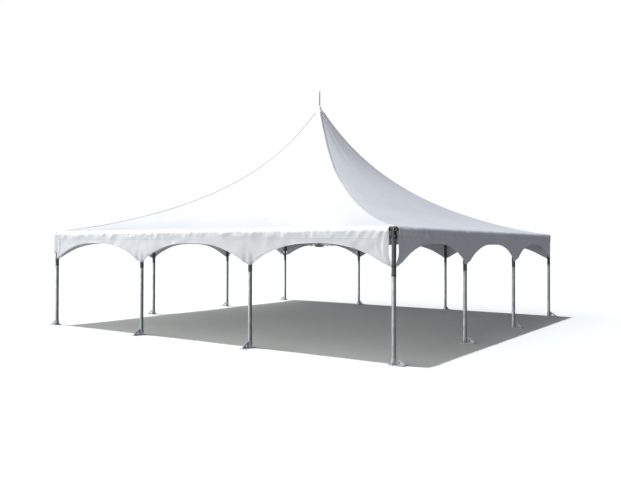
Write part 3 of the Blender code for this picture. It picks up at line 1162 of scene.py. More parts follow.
@dataclass(eq=False)
class Canopy:
    """The one-piece vinyl top: roof, rounded fold over the eave and scalloped valance, with tapes and hem.

    The solids have an open slot at each corner. The cloth closes the two left ones, as the photograph shows
    on the corner at its left.
    """

    layout: Layout
    thickness: float = 0.002
    flat: tuple[float, float] = (12.4, 12.4)
    flat_area: float = 118.0
    spans: int = 356
    corner_spans: int = 12
    step: int = 6
    coarse_rings: int = 36
    fine_rings: int = 6
    fine_from: float = 0.25
    arc_rows: int = 6
    closed_arc_rows: int = 2
    fold_r: float = 0.072
    corner_r: float = 0.060
    hip_r: float = 0.006
    level_rows: tuple[float, ...] = (0.016, 0.038, 0.064, 0.094, 0.127, 0.162)
    hem_rows: int = 7
    arch_top: float = 0.275
    arch_rise: float = 0.450
    arch_power: float = 2.5
    tip_drop: float = 0.680
    tip_soft: float = 0.012
    end_round: float = 0.032
    head_r: float = 0.050
    rise_linear: float = 0.20
    rise_square: float = 0.51
    rise_sixth: float = 0.29
    rounding: float = 0.20
    pull_z: float = 1.81
    pull_height: float = 0.20
    tie_width: float = 0.11
    wrap_curve: float = 5.5
    tied_gap: float = 0.0065
    end_gap: float = -0.001
    end_stretch: float = 0.042
    end_width: float = 0.14
    hem_wave: tuple[float, float] = (0.005, 0.83)
    calm_z: float = 1.75
    calm_width: float = 0.07
    rail_near: float = 0.17
    leg_press: float = -0.0035
    rail_press: float = -0.0025
    most_press: float = -0.010
    most_lift: float = 0.018
    seam_shares: tuple[float, ...] = (-2 / 3, -1 / 3, 1 / 3, 2 / 3)
    seam_from: float = 0.40
    tape_width: float = 0.028
    hip_from: float = 0.07
    hip_lift: float = 0.0022
    short_hip: tuple[float, float, int] = (0.060, 3.3, 8)
    # The hips at the two left corners: longer and wider, their grey a painted shade line along the roof's
    # left outline.
    long_hip: tuple[float, float, int] = (0.078, 2.272, 2)
    patch_to: float = 0.30
    patch_lift: float = 0.0016
    eyelet_aside: float = 0.052
    cord_r: float = 0.0042
    closed_after: tuple[Side, ...] = (Side.BACK, Side.LEFT)
    closed_to_z: float = 1.68
    closed_out: float = 0.061
    closed_square: int = 10
    side_u: float = 11.0
    valance_v: float = -40.0

    def __post_init__(self) -> None:
        """Works out the fold's circle, the column places and each side's relief."""
        size = self.layout
        self.slope = math.atan(size.peak_rise * self.rise_linear / size.cloth_half)
        self.fold_out = size.cloth_half - self.fold_r
        self.fold_z = size.eave_z + self.fold_r * (math.tan(self.slope) - 1 / math.cos(self.slope))
        self.roof_half = self.fold_out + self.fold_r * math.sin(self.slope)
        hanging = np.linspace(-size.valance_end, size.valance_end, self.spans + 1)
        straight = size.cloth_half - self.corner_r
        last = (size.valance_end + straight) / 2
        self.straight = np.concatenate([[-straight, -last], hanging, [last, straight]]) / straight
        self.hanging_x = self.straight[2:-2] * straight
        self.arc = np.linspace(0, QUARTER, self.corner_spans + 1)[1:-1]
        self.per_side = len(self.straight) + len(self.arc)
        self.relief = {side: ClothRelief(size, 40 + side.value) for side in Side}
        self.points: list[Array] = []
        self.shifts: list[Array] = []
        self.marks: list[Array] = []

    def roof_z(self, x: Array, out: Array) -> Array:
        """Works out the roof's outer surface: square at the eave, rounder at the peak, creased at the hips.

        Args:
            x: Places along the side.
            out: Distances out from the centre.

        Returns:
            The heights.
        """
        outer, inner = np.maximum(np.abs(x), out), np.minimum(np.abs(x), out)
        level = outer / self.layout.cloth_half
        along = 1 - level / (1 + self.rounding * (1 - level) * (1 - (inner / outer) ** 2))
        rise = self.rise_linear * along + self.rise_square * along**2 + self.rise_sixth * along**6
        return self.layout.eave_z + self.layout.peak_rise * rise

    def hem_drop(self, x: Array) -> Array:
        """Works out how far the valance's lower edge hangs below the eave, its corners eased.

        Args:
            x: Places along the side.

        Returns:
            The drops.
        """
        share = ((x + self.layout.half) / self.layout.bay) % 1
        arch = self.arch_top + self.arch_rise * np.abs(2 * share - 1) ** self.arch_power
        soft, easing = self.tip_soft, self.end_round
        drop = -soft * np.log(np.exp(-arch / soft) + np.exp(-self.tip_drop / soft))
        from_end = np.clip(easing - (self.layout.valance_end - np.abs(x)), 0, easing)
        return drop - (easing - np.sqrt(easing**2 - from_end**2))

    def corner_radius(self, h: float) -> float:
        """Works out how round the plan's corners are: sharp at the hips, a round hole at the peak.

        Args:
            h: The ring's half width.

        Returns:
            The radius.
        """
        if h > self.roof_half:
            return self.corner_r - (self.layout.cloth_half - h)
        eave = self.corner_r - (self.layout.cloth_half - self.roof_half)
        low = eave + (self.hip_r - eave) * float(smooth((self.roof_half - h) / 0.5))
        return max(low * min(1.0, h), self.head_r * (1 - (h - self.head_r) / 0.30))

    def ring(self, h: float, step: int = 1) -> Row:
        """Places a ring's points on one side.

        Args:
            h: The ring's half width.
            step: 1 for every column, or more to skip some.

        Returns:
            Places along the side, distances out, and the mask that holds relief off the hips.
        """
        radius = self.corner_radius(h)
        inner = h - radius
        x = np.concatenate([self.straight * inner, inner + radius * np.sin(self.arc)])
        out = np.concatenate([np.full(len(self.straight), h), inner + radius * np.cos(self.arc)])
        mask = smooth((inner - np.abs(x)) / np.minimum(0.05, h * 0.08))
        return x[::step], out[::step], mask[::step]

    @cache
    def rings(self) -> list[Row]:
        """Places every closed ring from the peak to the lip.

        Returns:
            For each: places along the side, distances out, heights, distances up, mask and half width.
        """
        reach = self.roof_half - self.fine_from - self.head_r
        coarse = [self.head_r + reach * (i / self.coarse_rings) ** 1.6 for i in range(self.coarse_rings + 1)]
        shares = [1 - i / self.fine_rings for i in range(1, self.fine_rings + 1)]
        fine = [self.roof_half - self.fine_from * share**1.25 for share in shares]
        arc_up = self.fold_r * (QUARTER - self.slope)
        made = []
        for h in coarse + fine:
            x, out, mask = self.ring(h, self.step if h in coarse else 1)
            up = arc_up + (self.roof_half - h) / math.cos(self.slope)
            made.append((x, out, self.roof_z(x, out), np.full_like(x, up), mask, h))
        for i in range(1, self.closed_arc_rows + 1):
            h, z, up = self.arc_place(i)
            x, out, mask = self.ring(h)
            made.append((x, out, np.full_like(x, z), np.full_like(x, up), mask, h))
        return made

    def arc_place(self, row: int) -> Triple:
        """Works out where a row of the fold's arc lies, from the roof's slope to straight out.

        Args:
            row: Its number from the roof.

        Returns:
            How far out, how high and how far up from the fold it is.
        """
        angle = self.slope + (QUARTER - self.slope) * row / self.arc_rows
        out, z = self.fold_out + self.fold_r * math.sin(angle), self.fold_z + self.fold_r * math.cos(angle)
        return out, z, self.fold_r * (QUARTER - angle)

    def arc_row(self, row: int) -> Row:
        """A row of the fold's arc between the corner slots."""
        x, (h, z, up) = self.hanging_x, self.arc_place(row)
        return x, np.full_like(x, h), np.full_like(x, z), np.full_like(x, up), np.ones_like(x), h

    def hanging_row(self, depth: float, share: float) -> Row:
        """Places a row of the valance, pulled in to the legs where it is tied.

        Args:
            depth: How far below the fold it starts.
            share: How much of the way from there to the hem it is.

        Returns:
            The same as for a ring.
        """
        size, x = self.layout, self.hanging_x
        top = self.fold_z - depth
        z = top + (size.eave_z - self.hem_drop(x) - top) * share
        out = np.full_like(x, size.cloth_half)
        low = smooth((self.pull_z - z) / self.pull_height)
        for at in size.inner_legs:
            wrap = size.half + size.leg_r + self.tied_gap - self.wrap_curve * (x - at) ** 2
            out += (wrap - size.cloth_half) * (low * bell(x - at, self.tie_width, 4))
        end_pull = low * smooth((np.abs(x) - size.valance_end + self.end_width) / self.end_width)
        out += (size.half + size.leg_r + self.end_gap - size.cloth_half) * end_pull
        x = x + np.sign(x) * self.end_stretch * end_pull
        return x, out, z, z - self.fold_z, np.ones_like(x), size.cloth_half

    def lifted(self, side: Side, row: Row, hem_share: float = 0.0) -> Array:
        """Works out how far a row's points stand out from the smooth surface.

        Args:
            side: The side of the tent.
            row: The row.
            hem_share: How near the hem it is, or 0 for a ring of the roof.

        Returns:
            The lifts. None of them presses the cloth into the rails or the legs.
        """
        x, _, z, s, mask, h = row
        relief = self.relief[side]
        total = relief.near_fold(x, s) + relief.roof(x, np.full_like(x, h), s)
        if hem_share:
            height, length = self.hem_wave
            total = total + relief.tips(x, s)
            total = total + height * hem_share**2 * np.sin(math.tau * x / length + side.value)
        for at in self.layout.inner_legs:
            total = total * (1 - bell(x - at, self.calm_width, 4) * smooth((self.calm_z - z) / 0.1))
        total = total * mask
        for at in self.layout.inner_legs:
            if h > self.roof_half:
                near_leg = np.abs(x - at) < self.rail_near
                total = np.where(near_leg, np.maximum(total, self.leg_press), total)
        press = np.where(np.abs(s + 0.02) < self.rail_near, self.rail_press, self.most_press)
        return np.clip(total, press, self.most_lift)

    def round_corner(self, x_end: float, out_end: float, gap: int) -> tuple[Array, Array]:
        """Places the points that close a corner slot, from a valance's end round the leg to the next one.

        Args:
            x_end: Where the valance ends along its side.
            out_end: How far out it hangs there.
            gap: How many steps lie between the two ends.

        Returns:
            How far along the side and how far out each point between the ends is.
        """
        half = self.layout.half
        share = np.linspace(0, 1, gap + 1)[1:-1]
        first, last = math.atan2(out_end - half, x_end - half), math.atan2(x_end - half, out_end - half)
        angle = first + (last - first) * share
        own = out_end - half
        reach = own + (max(own, self.closed_out) - own) * smooth(np.minimum(share, 1 - share) / 0.2)
        power = self.closed_square
        round_to = np.maximum(np.cos(angle), 0) ** power + np.maximum(np.sin(angle), 0) ** power
        reach = reach / round_to ** (1 / power)
        return half + reach * np.cos(angle), half + reach * np.sin(angle)

    def laid(self, side: Side, places: Row, flat: Row, shift: Array) -> list[int]:
        """Adds a row of points to the cloth.

        Args:
            side: The side that it is on.
            places: Places along the side, distances out and heights.
            flat: Its U, counted along the side, and its V.
            shift: How far each point stands out from the smooth surface.

        Returns:
            The points' numbers.
        """
        first = sum(map(len, self.points))
        self.points.append(side.placed(*places))
        self.marks.append(np.stack([flat[0] + self.side_u * side.value, flat[1]], axis=-1))
        self.shifts.append(shift)
        return list(range(first, first + len(shift)))

    def surface(self) -> Mesh:
        """Makes the outer surface with its relief, and keeps the numbers of its rows for the tapes and hem.

        Returns:
            The mesh.
        """
        faces = []
        self.ring_rows = []
        for row in self.rings():
            parts = [self.laid(side, row[:3], (row[0], row[3]), self.lifted(side, row)) for side in Side]
            self.ring_rows.append([index for part in parts for index in part])
        lip = self.ring_rows[-1]
        for upper, lower in zip(self.ring_rows, self.ring_rows[1:]):
            faces.extend(self.joined(upper, lower))
        hung = [(self.arc_row(i), 0.0) for i in range(self.closed_arc_rows + 1, self.arc_rows + 1)]
        hung += [(self.hanging_row(depth, 0.0), 0.0) for depth in self.level_rows]
        for share in (((i + 1) / self.hem_rows) ** 0.92 for i in range(self.hem_rows)):
            hung.append((self.hanging_row(self.level_rows[-1], share), share))
        self.hanging = {}
        for side in Side:
            start = side.value * self.per_side + 2
            rows = self.hanging[side] = [lip[start : start + self.spans + 1]]
            for row, share in hung:
                shift = self.lifted(side, row, max(share, 0.05))
                rows.append(self.laid(side, row[:3], (row[0], row[3]), shift))
            for upper, lower in zip(rows, rows[1:]):
                faces.extend(zip(upper, lower, lower[1:], upper[1:]))
        gap = self.per_side - self.spans
        for side in self.closed_after:
            own, following = self.hanging[side], self.hanging[Side((side.value + 1) % len(Side))]
            start = side.value * self.per_side + 2 + self.spans
            upper = [lip[(start + k) % len(lip)] for k in range(gap + 1)]
            for j, (row, _) in enumerate(hung, 1):
                x, out, z, s = (float(part[-1]) for part in row[:4])
                if z < self.closed_to_z:
                    break
                level = np.full(gap - 1, z)
                flat = x + np.linspace(0.01, 0.15, gap - 1), np.full(gap - 1, s)
                between = self.laid(side, (*self.round_corner(x, out, gap), level), flat, np.zeros(gap - 1))
                lower = [own[j][-1], *between, following[j][0]]
                faces.extend(zip(upper, lower, lower[1:], upper[1:]))
                upper = lower
        mesh = bpy.data.meshes.new("canopy")
        mesh.from_pydata(np.concatenate(self.points).tolist(), [], [list(map(int, face)) for face in faces])
        smooth_places, normals = np.zeros((2, len(mesh.vertices) * 3), np.float32)
        mesh.vertices.foreach_get("co", smooth_places)
        mesh.vertex_normals.foreach_get("vector", normals)
        place = smooth_places.reshape(-1, 3) + normals.reshape(-1, 3) * np.concatenate(self.shifts)[:, None]
        mesh.vertices.foreach_set("co", place.astype(np.float32).ravel())
        self.write_uv(mesh, np.concatenate(self.marks))
        mesh.update()
        return mesh

    def joined(self, upper: list[int], lower: list[int]) -> list[tuple[int, ...]]:
        """Joins two rings, in fans where the lower one is finer.

        Args:
            upper: The numbers of the upper ring's points.
            lower: The numbers of the lower ring's points.

        Returns:
            The faces between them.
        """
        ends = list(zip(upper, upper[1:] + upper[:1]))
        if len(lower) == len(upper):
            trios = zip(ends, lower, lower[1:] + lower[:1])
            return [(here, low, after, there) for (here, there), low, after in trios]
        ratio = len(lower) // len(upper)
        middle = ratio // 2
        made = []
        for i, (here, there) in enumerate(ends):
            fan = [lower[(i * ratio + k) % len(lower)] for k in range(ratio + 1)]
            made.extend((here, fan[k], fan[k + 1]) for k in range(middle))
            made.append((here, fan[middle], there))
            made.extend((there, fan[k], fan[k + 1]) for k in range(middle, ratio))
        return made

    def write_uv(self, mesh: Mesh, marks: Array) -> None:
        """Writes each corner's place on the flat cloth. A face that crosses to the next side keeps its own.

        Args:
            mesh: The cloth.
            marks: U and V of its points.
        """
        corners, sizes = np.zeros(len(mesh.loops), np.int32), np.zeros(len(mesh.polygons), np.int32)
        mesh.loops.foreach_get("vertex_index", corners)
        mesh.polygons.foreach_get("loop_total", sizes)
        first = np.repeat(np.concatenate([[0], np.cumsum(sizes)[:-1]]), sizes)
        uv, home = marks[corners], marks[corners[first]]
        jump = np.abs(uv[:, 0] - home[:, 0]) > 1.0
        uv[jump, 0] = home[jump, 0]
        mesh.uv_layers.new(name=UV_NAME).data.foreach_set("uv", uv.astype(np.float32).ravel())

    def column(self, place: int, least: float) -> list[int]:
        """Follows a column of points down to the lip.

        Args:
            place: Its number, one that the coarse rings have too.
            least: The half width that its first ring is wider than.

        Returns:
            The points' numbers.
        """
        rows = [row for row, ring in zip(self.ring_rows, self.rings()) if ring[-1] > least]
        return [row[place // self.step if len(row) < 4 * self.per_side else place] for row in rows]

    @staticmethod
    def spot(mesh: Mesh, index: int, lift: float) -> Vector:
        """A point of the cloth, lifted off it."""
        return mesh.vertices[index].co + Vector(mesh.vertex_normals[index].vector) * lift

    def ribbon(
        self,
        piece: Workpiece,
        mesh: Mesh,
        line: list[int],
        width: float,
        lift: float = 0.0004,
        **options: float,
    ) -> None:
        """Lays a welded tape on the cloth along a line of its points.

        Args:
            piece: What it is added to.
            mesh: The cloth.
            line: The cloth's points that it follows.
            width: How wide it is.
            lift: How far its face stands off the cloth.
            options: start, V of its first end, below zero on the valance, where light comes through; finish,
                which of the piece's finishes it has; taper, over how many points it narrows at its far end.
        """
        travelled, taper = options.get("start", 0.0), options.get("taper", 0)
        rims = [(-0.5, -0.0005), (-0.46, lift), (0.0, lift * 1.1), (0.46, lift), (0.5, -0.0005)]
        places = [mesh.vertices[index].co for index in line]
        before: list[bmesh.types.BMVert] = []
        for i, here in enumerate(places):
            up = Vector(mesh.vertex_normals[line[i]].vector)
            way = places[min(i + 1, len(line) - 1)] - places[max(i - 1, 0)]
            across = way.cross(up).normalized()
            wide = width * (min(1.0, (len(line) - 1 - i + 0.4) / taper) if taper else 1.0)
            row = [piece.point(here + across * wide * a + up * b) for a, b in rims]
            if before:
                ahead = travelled + (here - places[i - 1]).length
                for k in range(len(rims) - 1):
                    corners = (before[k], before[k + 1], row[k + 1], row[k])
                    marks = ((k, travelled), (k + 1, travelled), (k + 1, ahead), (k, ahead))
                    piece.quad(corners, marks, (width / 4, 1), options.get("finish", 0))
                travelled = ahead
            before = row

    def tapes(self, mesh: Mesh) -> Object:
        """Makes the welded tapes over the hips and panel seams, and the band inside the fold.

        Args:
            mesh: The cloth.

        Returns:
            The piece.
        """
        piece = Workpiece(WELD_TAPE, HIP_TAPE_SHADE, VINYL)
        hip = len(self.straight) + self.corner_spans // 2 - 1
        middle = (len(self.straight) - 1) // 2
        for side in Side:
            start = side.value * self.per_side
            # Hip tapes: grey, partly painted shade along the hips.
            width, end_z, taper = self.long_hip if side in self.closed_after else self.short_hip
            high = [i for i in self.column(start + hip, self.hip_from) if mesh.vertices[i].co.z > end_z]
            self.ribbon(piece, mesh, high, width, self.hip_lift, finish=1, taper=taper)
            for share in self.seam_shares:
                place = start + round(middle * (1 + share) / self.step) * self.step
                self.ribbon(piece, mesh, self.column(place, self.seam_from), self.tape_width, finish=2)
            band = self.hanging[side][-self.hem_rows - 2]
            self.ribbon(piece, mesh, band, self.tape_width * 0.8, start=self.valance_v)
        return piece.finished("canopy_welded_tapes", 60)

    def peak_patch(self, mesh: Mesh) -> Object:
        """Makes the doubled cone of vinyl that takes the rub of the mast's head.

        Args:
            mesh: The cloth.

        Returns:
            The piece.
        """
        rows = [row for row, ring in zip(self.ring_rows, self.rings()) if ring[-1] < self.patch_to]
        piece = Workpiece(WELD_TAPE)
        made = [[piece.point(self.spot(mesh, i, self.patch_lift)) for i in row] for row in rows[:-1]]
        made.append([piece.point(self.spot(mesh, i, -0.0006)) for i in rows[-1]])
        for j, (upper, lower) in enumerate(zip(made, made[1:])):
            for i in range(len(upper)):
                k = (i + 1) % len(upper)
                marks = ((i, j), (i, j + 1), (i + 1, j + 1), (i + 1, j))
                piece.quad((upper[i], lower[i], lower[k], upper[k]), marks, (0.004, 0.02), 0)
        return piece.finished("canopy_peak_patch", 180)

    def hem(self, mesh: Mesh) -> Object:
        """Makes the corded hem along the arches and up the valances' ends.

        Args:
            mesh: The cloth.

        Returns:
            The piece.
        """
        lines = []
        for rows in self.hanging.values():
            path = [row[0] for row in rows] + rows[-1][1:-1] + [row[-1] for row in reversed(rows)]
            lines.append([self.spot(mesh, i, -0.001) for i in path])
        return Workpiece(WELD_TAPE).swept(lines, self.cord_r, sides=8).finished("canopy_corded_hem", 60)

    def eyelets(self, mesh: Mesh) -> Object:
        """Makes the plated eyelets beside each tied tip.

        Args:
            mesh: The cloth.

        Returns:
            The piece.
        """
        end = self.layout.valance_end - 0.01
        wanted = [at + dx for at in self.layout.inner_legs for dx in (-self.eyelet_aside, self.eyelet_aside)]
        spots = []
        for side in Side:
            row = self.hanging[side][-3]
            places = np.array([side.turn().inverted() @ mesh.vertices[i].co for i in row])[:, 0]
            for x in (*wanted, -end, end):
                index = row[int(np.argmin(np.abs(places - x)))]
                spots.append((self.spot(mesh, index, 0.0002), Vector(mesh.vertex_normals[index].vector)))
        ring = [(0.0055, -0.0006), (0.0060, 0.0012), (0.0085, 0.0017), (0.0112, 0.0010), (0.0118, -0.0006)]
        pattern = Workpiece(BRASS).turned(ring, sides=SMALL_ROUND, loop=True).finished("eyelet_pattern")
        piece = Workpiece(BRASS).fastened(spots, pattern, 0)
        dropped(pattern)
        return piece.finished("canopy_eyelets")

    def build(self) -> None:
        mesh = self.surface()
        extras = [self.tapes(mesh), self.peak_patch(mesh), self.hem(mesh), self.eyelets(mesh)]
        mesh.materials.append(VINYL.material())
        mesh.shade_smooth()
        cloth = link(bpy.data.objects.new("canopy", mesh))
        solid = cloth.modifiers.new("Cloth thickness", "SOLIDIFY")
        solid.thickness, solid.offset = self.thickness, -1
        nodes = [f"{part}_{side.label}" for part in ("roof_gore", "valance") for side in Side]
        hand_over(cloth, Slot.VINYL, *nodes)
        for extra in extras:
            hand_over(extra, Slot.VINYL)


# The frame


@dataclass
class Fasteners:
    """Bolt heads and nuts, as pattern objects that the geometry nodes place."""

    shank_r: float = 0.005

    def __post_init__(self) -> None:
        """Makes the patterns, seated on Z = 0 and facing +Z."""
        washer = [(0, 0), (2.1, 0), (2.1, 0.22), (0, 0.22)]
        head = [(0, 0.2), (1.75, 0.2), (1.75, 1.2), (1.5, 1.45), (0, 1.45)]
        thread = [(0, 1), (1, 1), (1, 2.4), (0.8, 2.7), (0, 2.7)]
        self.bolt = self.pattern("bolt_pattern", (washer, SMALL_ROUND), (head, HEX))
        self.nut = self.pattern("nut_pattern", (washer, SMALL_ROUND), (head, HEX), (thread, SMALL_ROUND))

    def pattern(self, name: str, *parts: tuple[Outline, int]) -> Object:
        """Makes a pattern.

        Args:
            name: Its name.
            parts: Each turned part's profile, in shank radii, and how many flats it has round.

        Returns:
            The object.
        """
        piece = Workpiece(BOLT_STEEL)
        for profile, sides in parts:
            piece.turned([(x * self.shank_r, z * self.shank_r) for x, z in profile], sides=sides)
        return piece.finished(name, 25)


@dataclass
class Legs:
    """The twelve tube legs, each with two push buttons and a dark sleeve at its top that its tie grips,
    painted shade of the valance.
    """

    layout: Layout
    wall: float = 0.003
    ease: float = 0.0008
    button_z: float = 1.30
    # The dark sleeve's foot and top: painted shade where the valance shades the leg.
    sleeve: tuple[float, float] = (1.44, 2.047)
    sleeve_in: float = 0.0004
    sleeve_t: float = 0.0012

    def build(self) -> None:
        """Makes one leg and stands a copy of it at each place."""
        size, r = self.layout, self.layout.leg_r
        start, *rest = tube(r - self.wall, r, size.leg_top_z, size.leg_foot_z, self.ease)
        piece = Workpiece(TUBE_METAL, BOLT_STEEL, LEG_TOP_SHADE).turned([*rest, start], loop=True)
        # The sleeve is painted shade, a dark band under the valance.
        bottom, top = self.sleeve
        sleeve = tube(r - self.sleeve_in, r + self.sleeve_t, top, bottom, self.ease)
        piece.turned(sleeve, finish=2, loop=True)
        button = [(0.0, 0.004), (0.004, 0.0035), (0.0055, 0.0015), (0.0058, -0.002), (0, -0.002)]
        for turn in (0, math.pi):
            way = Vector((math.cos(turn), math.sin(turn), 0))
            seat = way * r + Vector((0, 0, self.button_z))
            piece.turned(button, towards(seat, seat + way), 1, SMALL_ROUND)
        stood(piece.finished("leg_pattern"), size.legs(), "leg_tube_", Slot.TUBE, "leg_")


@dataclass
class Feet:
    """The twelve welded feet: base plate, sleeve, an outward gusset with its hole, and two side gussets."""

    layout: Layout
    fasteners: Fasteners
    plate_t: float = 0.010
    plate_half: float = 0.080
    plate_in: float = 0.080
    plate_out: float = 0.215
    sleeve_h: float = 0.120
    sleeve_ease: float = 0.0015
    gusset_t: float = 0.010
    gusset_h: float = 0.130
    gusset_tip: float = 0.022
    shoulder: float = 0.021
    hole: Triple = (0.098, 0.046, 0.022)
    side_h: float = 0.070
    side_tip: float = 0.008
    margin: float = 0.005
    anchor: Triple = (0.165, 0.050, 0.012)
    bolt_z: float = 0.095
    ring_bead: float = 0.0042
    bead: float = 0.0032

    def plate(self) -> Mesh:
        """Cuts the base plate with its two anchor holes.

        Returns:
            The mesh.
        """
        edge = eased(box(-self.plate_in, -self.plate_half, self.plate_out, self.plate_half), 0.014)
        out, aside, radius = self.anchor
        holes = [circle(out, -aside, radius), circle(out, aside, radius)]
        return cut_plate([edge, *holes], self.plate_t, 0.0012)

    def gusset(self, upper: Outline, ease: float, *holes: Outline) -> Mesh:
        """Cuts a gusset, flat in XY with its height along Y.

        Args:
            upper: The corners of its upper edge, from its tip inwards.
            ease: How far its corners are rounded.
            holes: The outlines of its holes.

        Returns:
            The mesh.
        """
        start, low = self.layout.leg_r + 0.001, self.plate_t / 2
        corners = [(start, low), (upper[0][0], low), *upper]
        return cut_plate([eased(corners, ease, 3), *holes], self.gusset_t, 0.0008)

    def build(self) -> None:
        """Makes one foot along +X and stands a copy under each leg."""
        piece = Workpiece(ZINC_STEEL, WELD_METAL, BOLT_STEEL)
        upright = spun(QUARTER, "X")
        outer, low, top = self.layout.socket_r, self.plate_t, self.sleeve_h
        tip, side_tip = self.plate_out - self.margin, self.plate_half - self.margin
        piece.added(self.plate(), shifted(0, 0, low / 2))
        start = self.layout.leg_r + 0.001
        slope = [(tip, low + self.gusset_tip), (outer + self.shoulder, self.gusset_h), (start, self.gusset_h)]
        piece.added(self.gusset(slope, 0.004, circle(*self.hole)), upright)
        slope = [(side_tip, low + self.side_tip), (start, self.side_h)]
        for turn in (QUARTER, -QUARTER):
            piece.added(self.gusset(slope, 0.003), spun(turn) @ upright)
        bore, ease = self.layout.leg_r + self.layout.bore_gap, self.sleeve_ease
        sleeve = [(bore + ease, top), (bore, top - ease), (bore, low / 2)]
        sleeve += [(outer, low / 2), (outer, top - ease), (outer - ease, top)]
        piece.turned(sleeve, loop=True)
        seam_z = low + 0.0012
        piece.welded([ring_line(outer + 0.001, shifted(0, 0, seam_z), 40)], self.ring_bead, 1, closed=True)
        seams = []
        for aside in (-self.gusset_t / 2 - 0.001, self.gusset_t / 2 + 0.001):
            seams.append([(outer, aside, seam_z), (tip - 0.004, aside, seam_z)])
            seams.append([(outer - 0.002, aside, low), (outer - 0.002, aside, top - 0.004)])
            for wing in (-1, 1):
                wing_end = wing * (self.plate_half - 0.009)
                seams.append([(aside, wing * outer, seam_z), (aside, wing_end, seam_z)])
        piece.welded(seams, self.bead, 1)
        seat = outer * 0.7071
        spots = [((-seat, seat * b, self.bolt_z), (-1, b, 0)) for b in (1, -1)]
        piece.fastened(spots, self.fasteners.bolt, 2)
        stood(piece.finished("foot_pattern"), self.layout.legs(), "foot_welded_", Slot.ZINC, "foot_")


@dataclass
class EaveFrame:
    """The four eave rails with their tee sleeves, and the four corner fittings with their cable lugs."""

    layout: Layout
    fasteners: Fasteners
    rail_wall: float = 0.003
    rail_inset: float = 0.075
    tee_reach: float = 0.150
    tee_bolt: float = 0.115
    cup_bolt: float = 0.040
    corner_reach: float = 0.170
    corner_bolts: tuple[float, float] = (0.105, 0.145)
    lug_box: tuple[float, float, float] = (0.020, 0.105, 0.024)
    lug_t: float = 0.014
    lug_z: float = 2.215
    lug_hole: tuple[float, float] = (0.083, 0.009)
    eye: tuple[float, float] = (0.024, 0.0052)
    eye_down: float = 0.010
    low_bolt: float = 0.125

    def cup(self, piece: Workpiece, x: float, finish: int) -> None:
        """Adds the cup that takes a leg's top.

        Args:
            piece: What it is added to.
            x: Where the leg stands along the front.
            finish: Which of the piece's finishes it has.
        """
        size = self.layout
        low, high, outer = size.socket_low, size.rail_z - 0.006, size.socket_r
        bore, roof, lip = size.leg_r + size.bore_gap, size.leg_top_z + size.bore_gap, outer + 0.0012
        profile = [(0, high), (outer - 0.004, high), (outer, size.rail_z - 0.012), (outer, low + 0.012)]
        profile += [(lip, low + 0.010), (lip, low + 0.002), (outer, low)]
        profile += [(bore, low), (bore, roof), (0, roof)]
        piece.turned(profile, shifted(x, -size.half, 0), finish)

    def sleeve(self, piece: Workpiece, start: Point, end: Point, finish: int) -> None:
        """Adds a sleeve round a rail, its ends rolled.

        Args:
            piece: What it is added to.
            start: Where its axis starts.
            end: Where it ends.
            finish: Which of the piece's finishes it has.
        """
        size, long = self.layout, (Vector(end) - Vector(start)).length
        profile = tube(size.rail_r + size.bore_gap, size.sleeve_r, 0, long, 0.0015)
        piece.turned(profile, towards(start, end), finish, loop=True)

    def rail(self) -> Object:
        """Makes the front rail with its two tees.

        Returns:
            The pattern.
        """
        size, nut = self.layout, self.fasteners.nut
        piece = Workpiece(TUBE_METAL, CAST_METAL, BOLT_STEEL, WELD_METAL)
        y, z, r, end = -size.half, size.rail_z, size.rail_r, size.half - self.rail_inset
        inner = r - self.rail_wall
        profile = [(r, 0), (r, 2 * end), (inner, 2 * end), (inner, 0)]
        piece.turned(profile, towards((-end, y, z), (end, y, z)), 0, loop=True)
        spots = []
        for x in size.inner_legs:
            self.sleeve(piece, (x - self.tee_reach, y, z), (x + self.tee_reach, y, z), 1)
            self.cup(piece, x, 1)
            seam = []
            for along, across in circle(0, 0, size.socket_r, 48):
                drop = math.sqrt(max(size.sleeve_r**2 - across**2, 0))
                seam.append((x + along, y + across, z - drop))
            piece.welded([seam], 0.0035, 3, closed=True)
            for dx in (-self.tee_bolt, self.tee_bolt):
                spots.append(((x + dx, y + size.sleeve_r, z), (0, 1, 0)))
            spots.append(((x, y + size.socket_r, size.socket_low + self.cup_bolt), (0, 1, 0)))
        piece.fastened(spots, nut, 2)
        return piece.finished("eave_rail_pattern")

    def corner(self) -> Object:
        """Makes the front right corner fitting: cup, crown, two sleeves, cable lug and an eye under the slot.

        Returns:
            The pattern.
        """
        size = self.layout
        piece = Workpiece(CAST_METAL, WELD_METAL, BOLT_STEEL)
        knee = Vector((size.half, -size.half, size.rail_z))
        self.cup(piece, size.half, 0)
        half_turn = [math.pi * i / 16 for i in range(17)]
        ball = [(size.sleeve_r * math.sin(a), size.sleeve_r * math.cos(a)) for a in half_turn]
        piece.turned(ball, Matrix.Translation(knee), 0)
        leftward, rearward = Vector((-1, 0, 0)), Vector((0, 1, 0))
        for way in (leftward, rearward):
            self.sleeve(piece, knee, knee + way * self.corner_reach, 0)
            seam = ring_line(size.sleeve_r, towards(knee + way * 0.036, knee + way))
            piece.welded([seam], 0.003, 1, closed=True)
        near, far, wide = self.lug_box
        hole_x, hole_r = self.lug_hole
        outline = eased(box(near, -wide, far, wide), 0.018)
        lug = cut_plate([outline, circle(hole_x, 0, hole_r)], self.lug_t, 0.0012)
        inward = (leftward + rearward).normalized()
        turn = spun(math.atan2(inward.y, inward.x))
        piece.added(lug, shifted(size.half, -size.half, self.lug_z) @ turn)
        nuts = [(knee + rearward * reach + leftward * size.sleeve_r, leftward) for reach in self.corner_bolts]
        piece.fastened(nuts, self.fasteners.nut, 2)
        eye_r, wire_r = self.eye
        root = knee - inward * (size.socket_r - 0.004) - Vector((0, 0, self.eye_down))
        centre = root - inward * 0.008
        piece.swept([ring_line(eye_r, towards(centre, centre - inward))], wire_r, 2, sides=10, closed=True)
        low_spot = knee - inward * (size.socket_r - 0.0006) - Vector((0, 0, self.low_bolt))
        piece.fastened([(low_spot, -inward)], self.fasteners.bolt, 2)
        return piece.finished("corner_pattern")

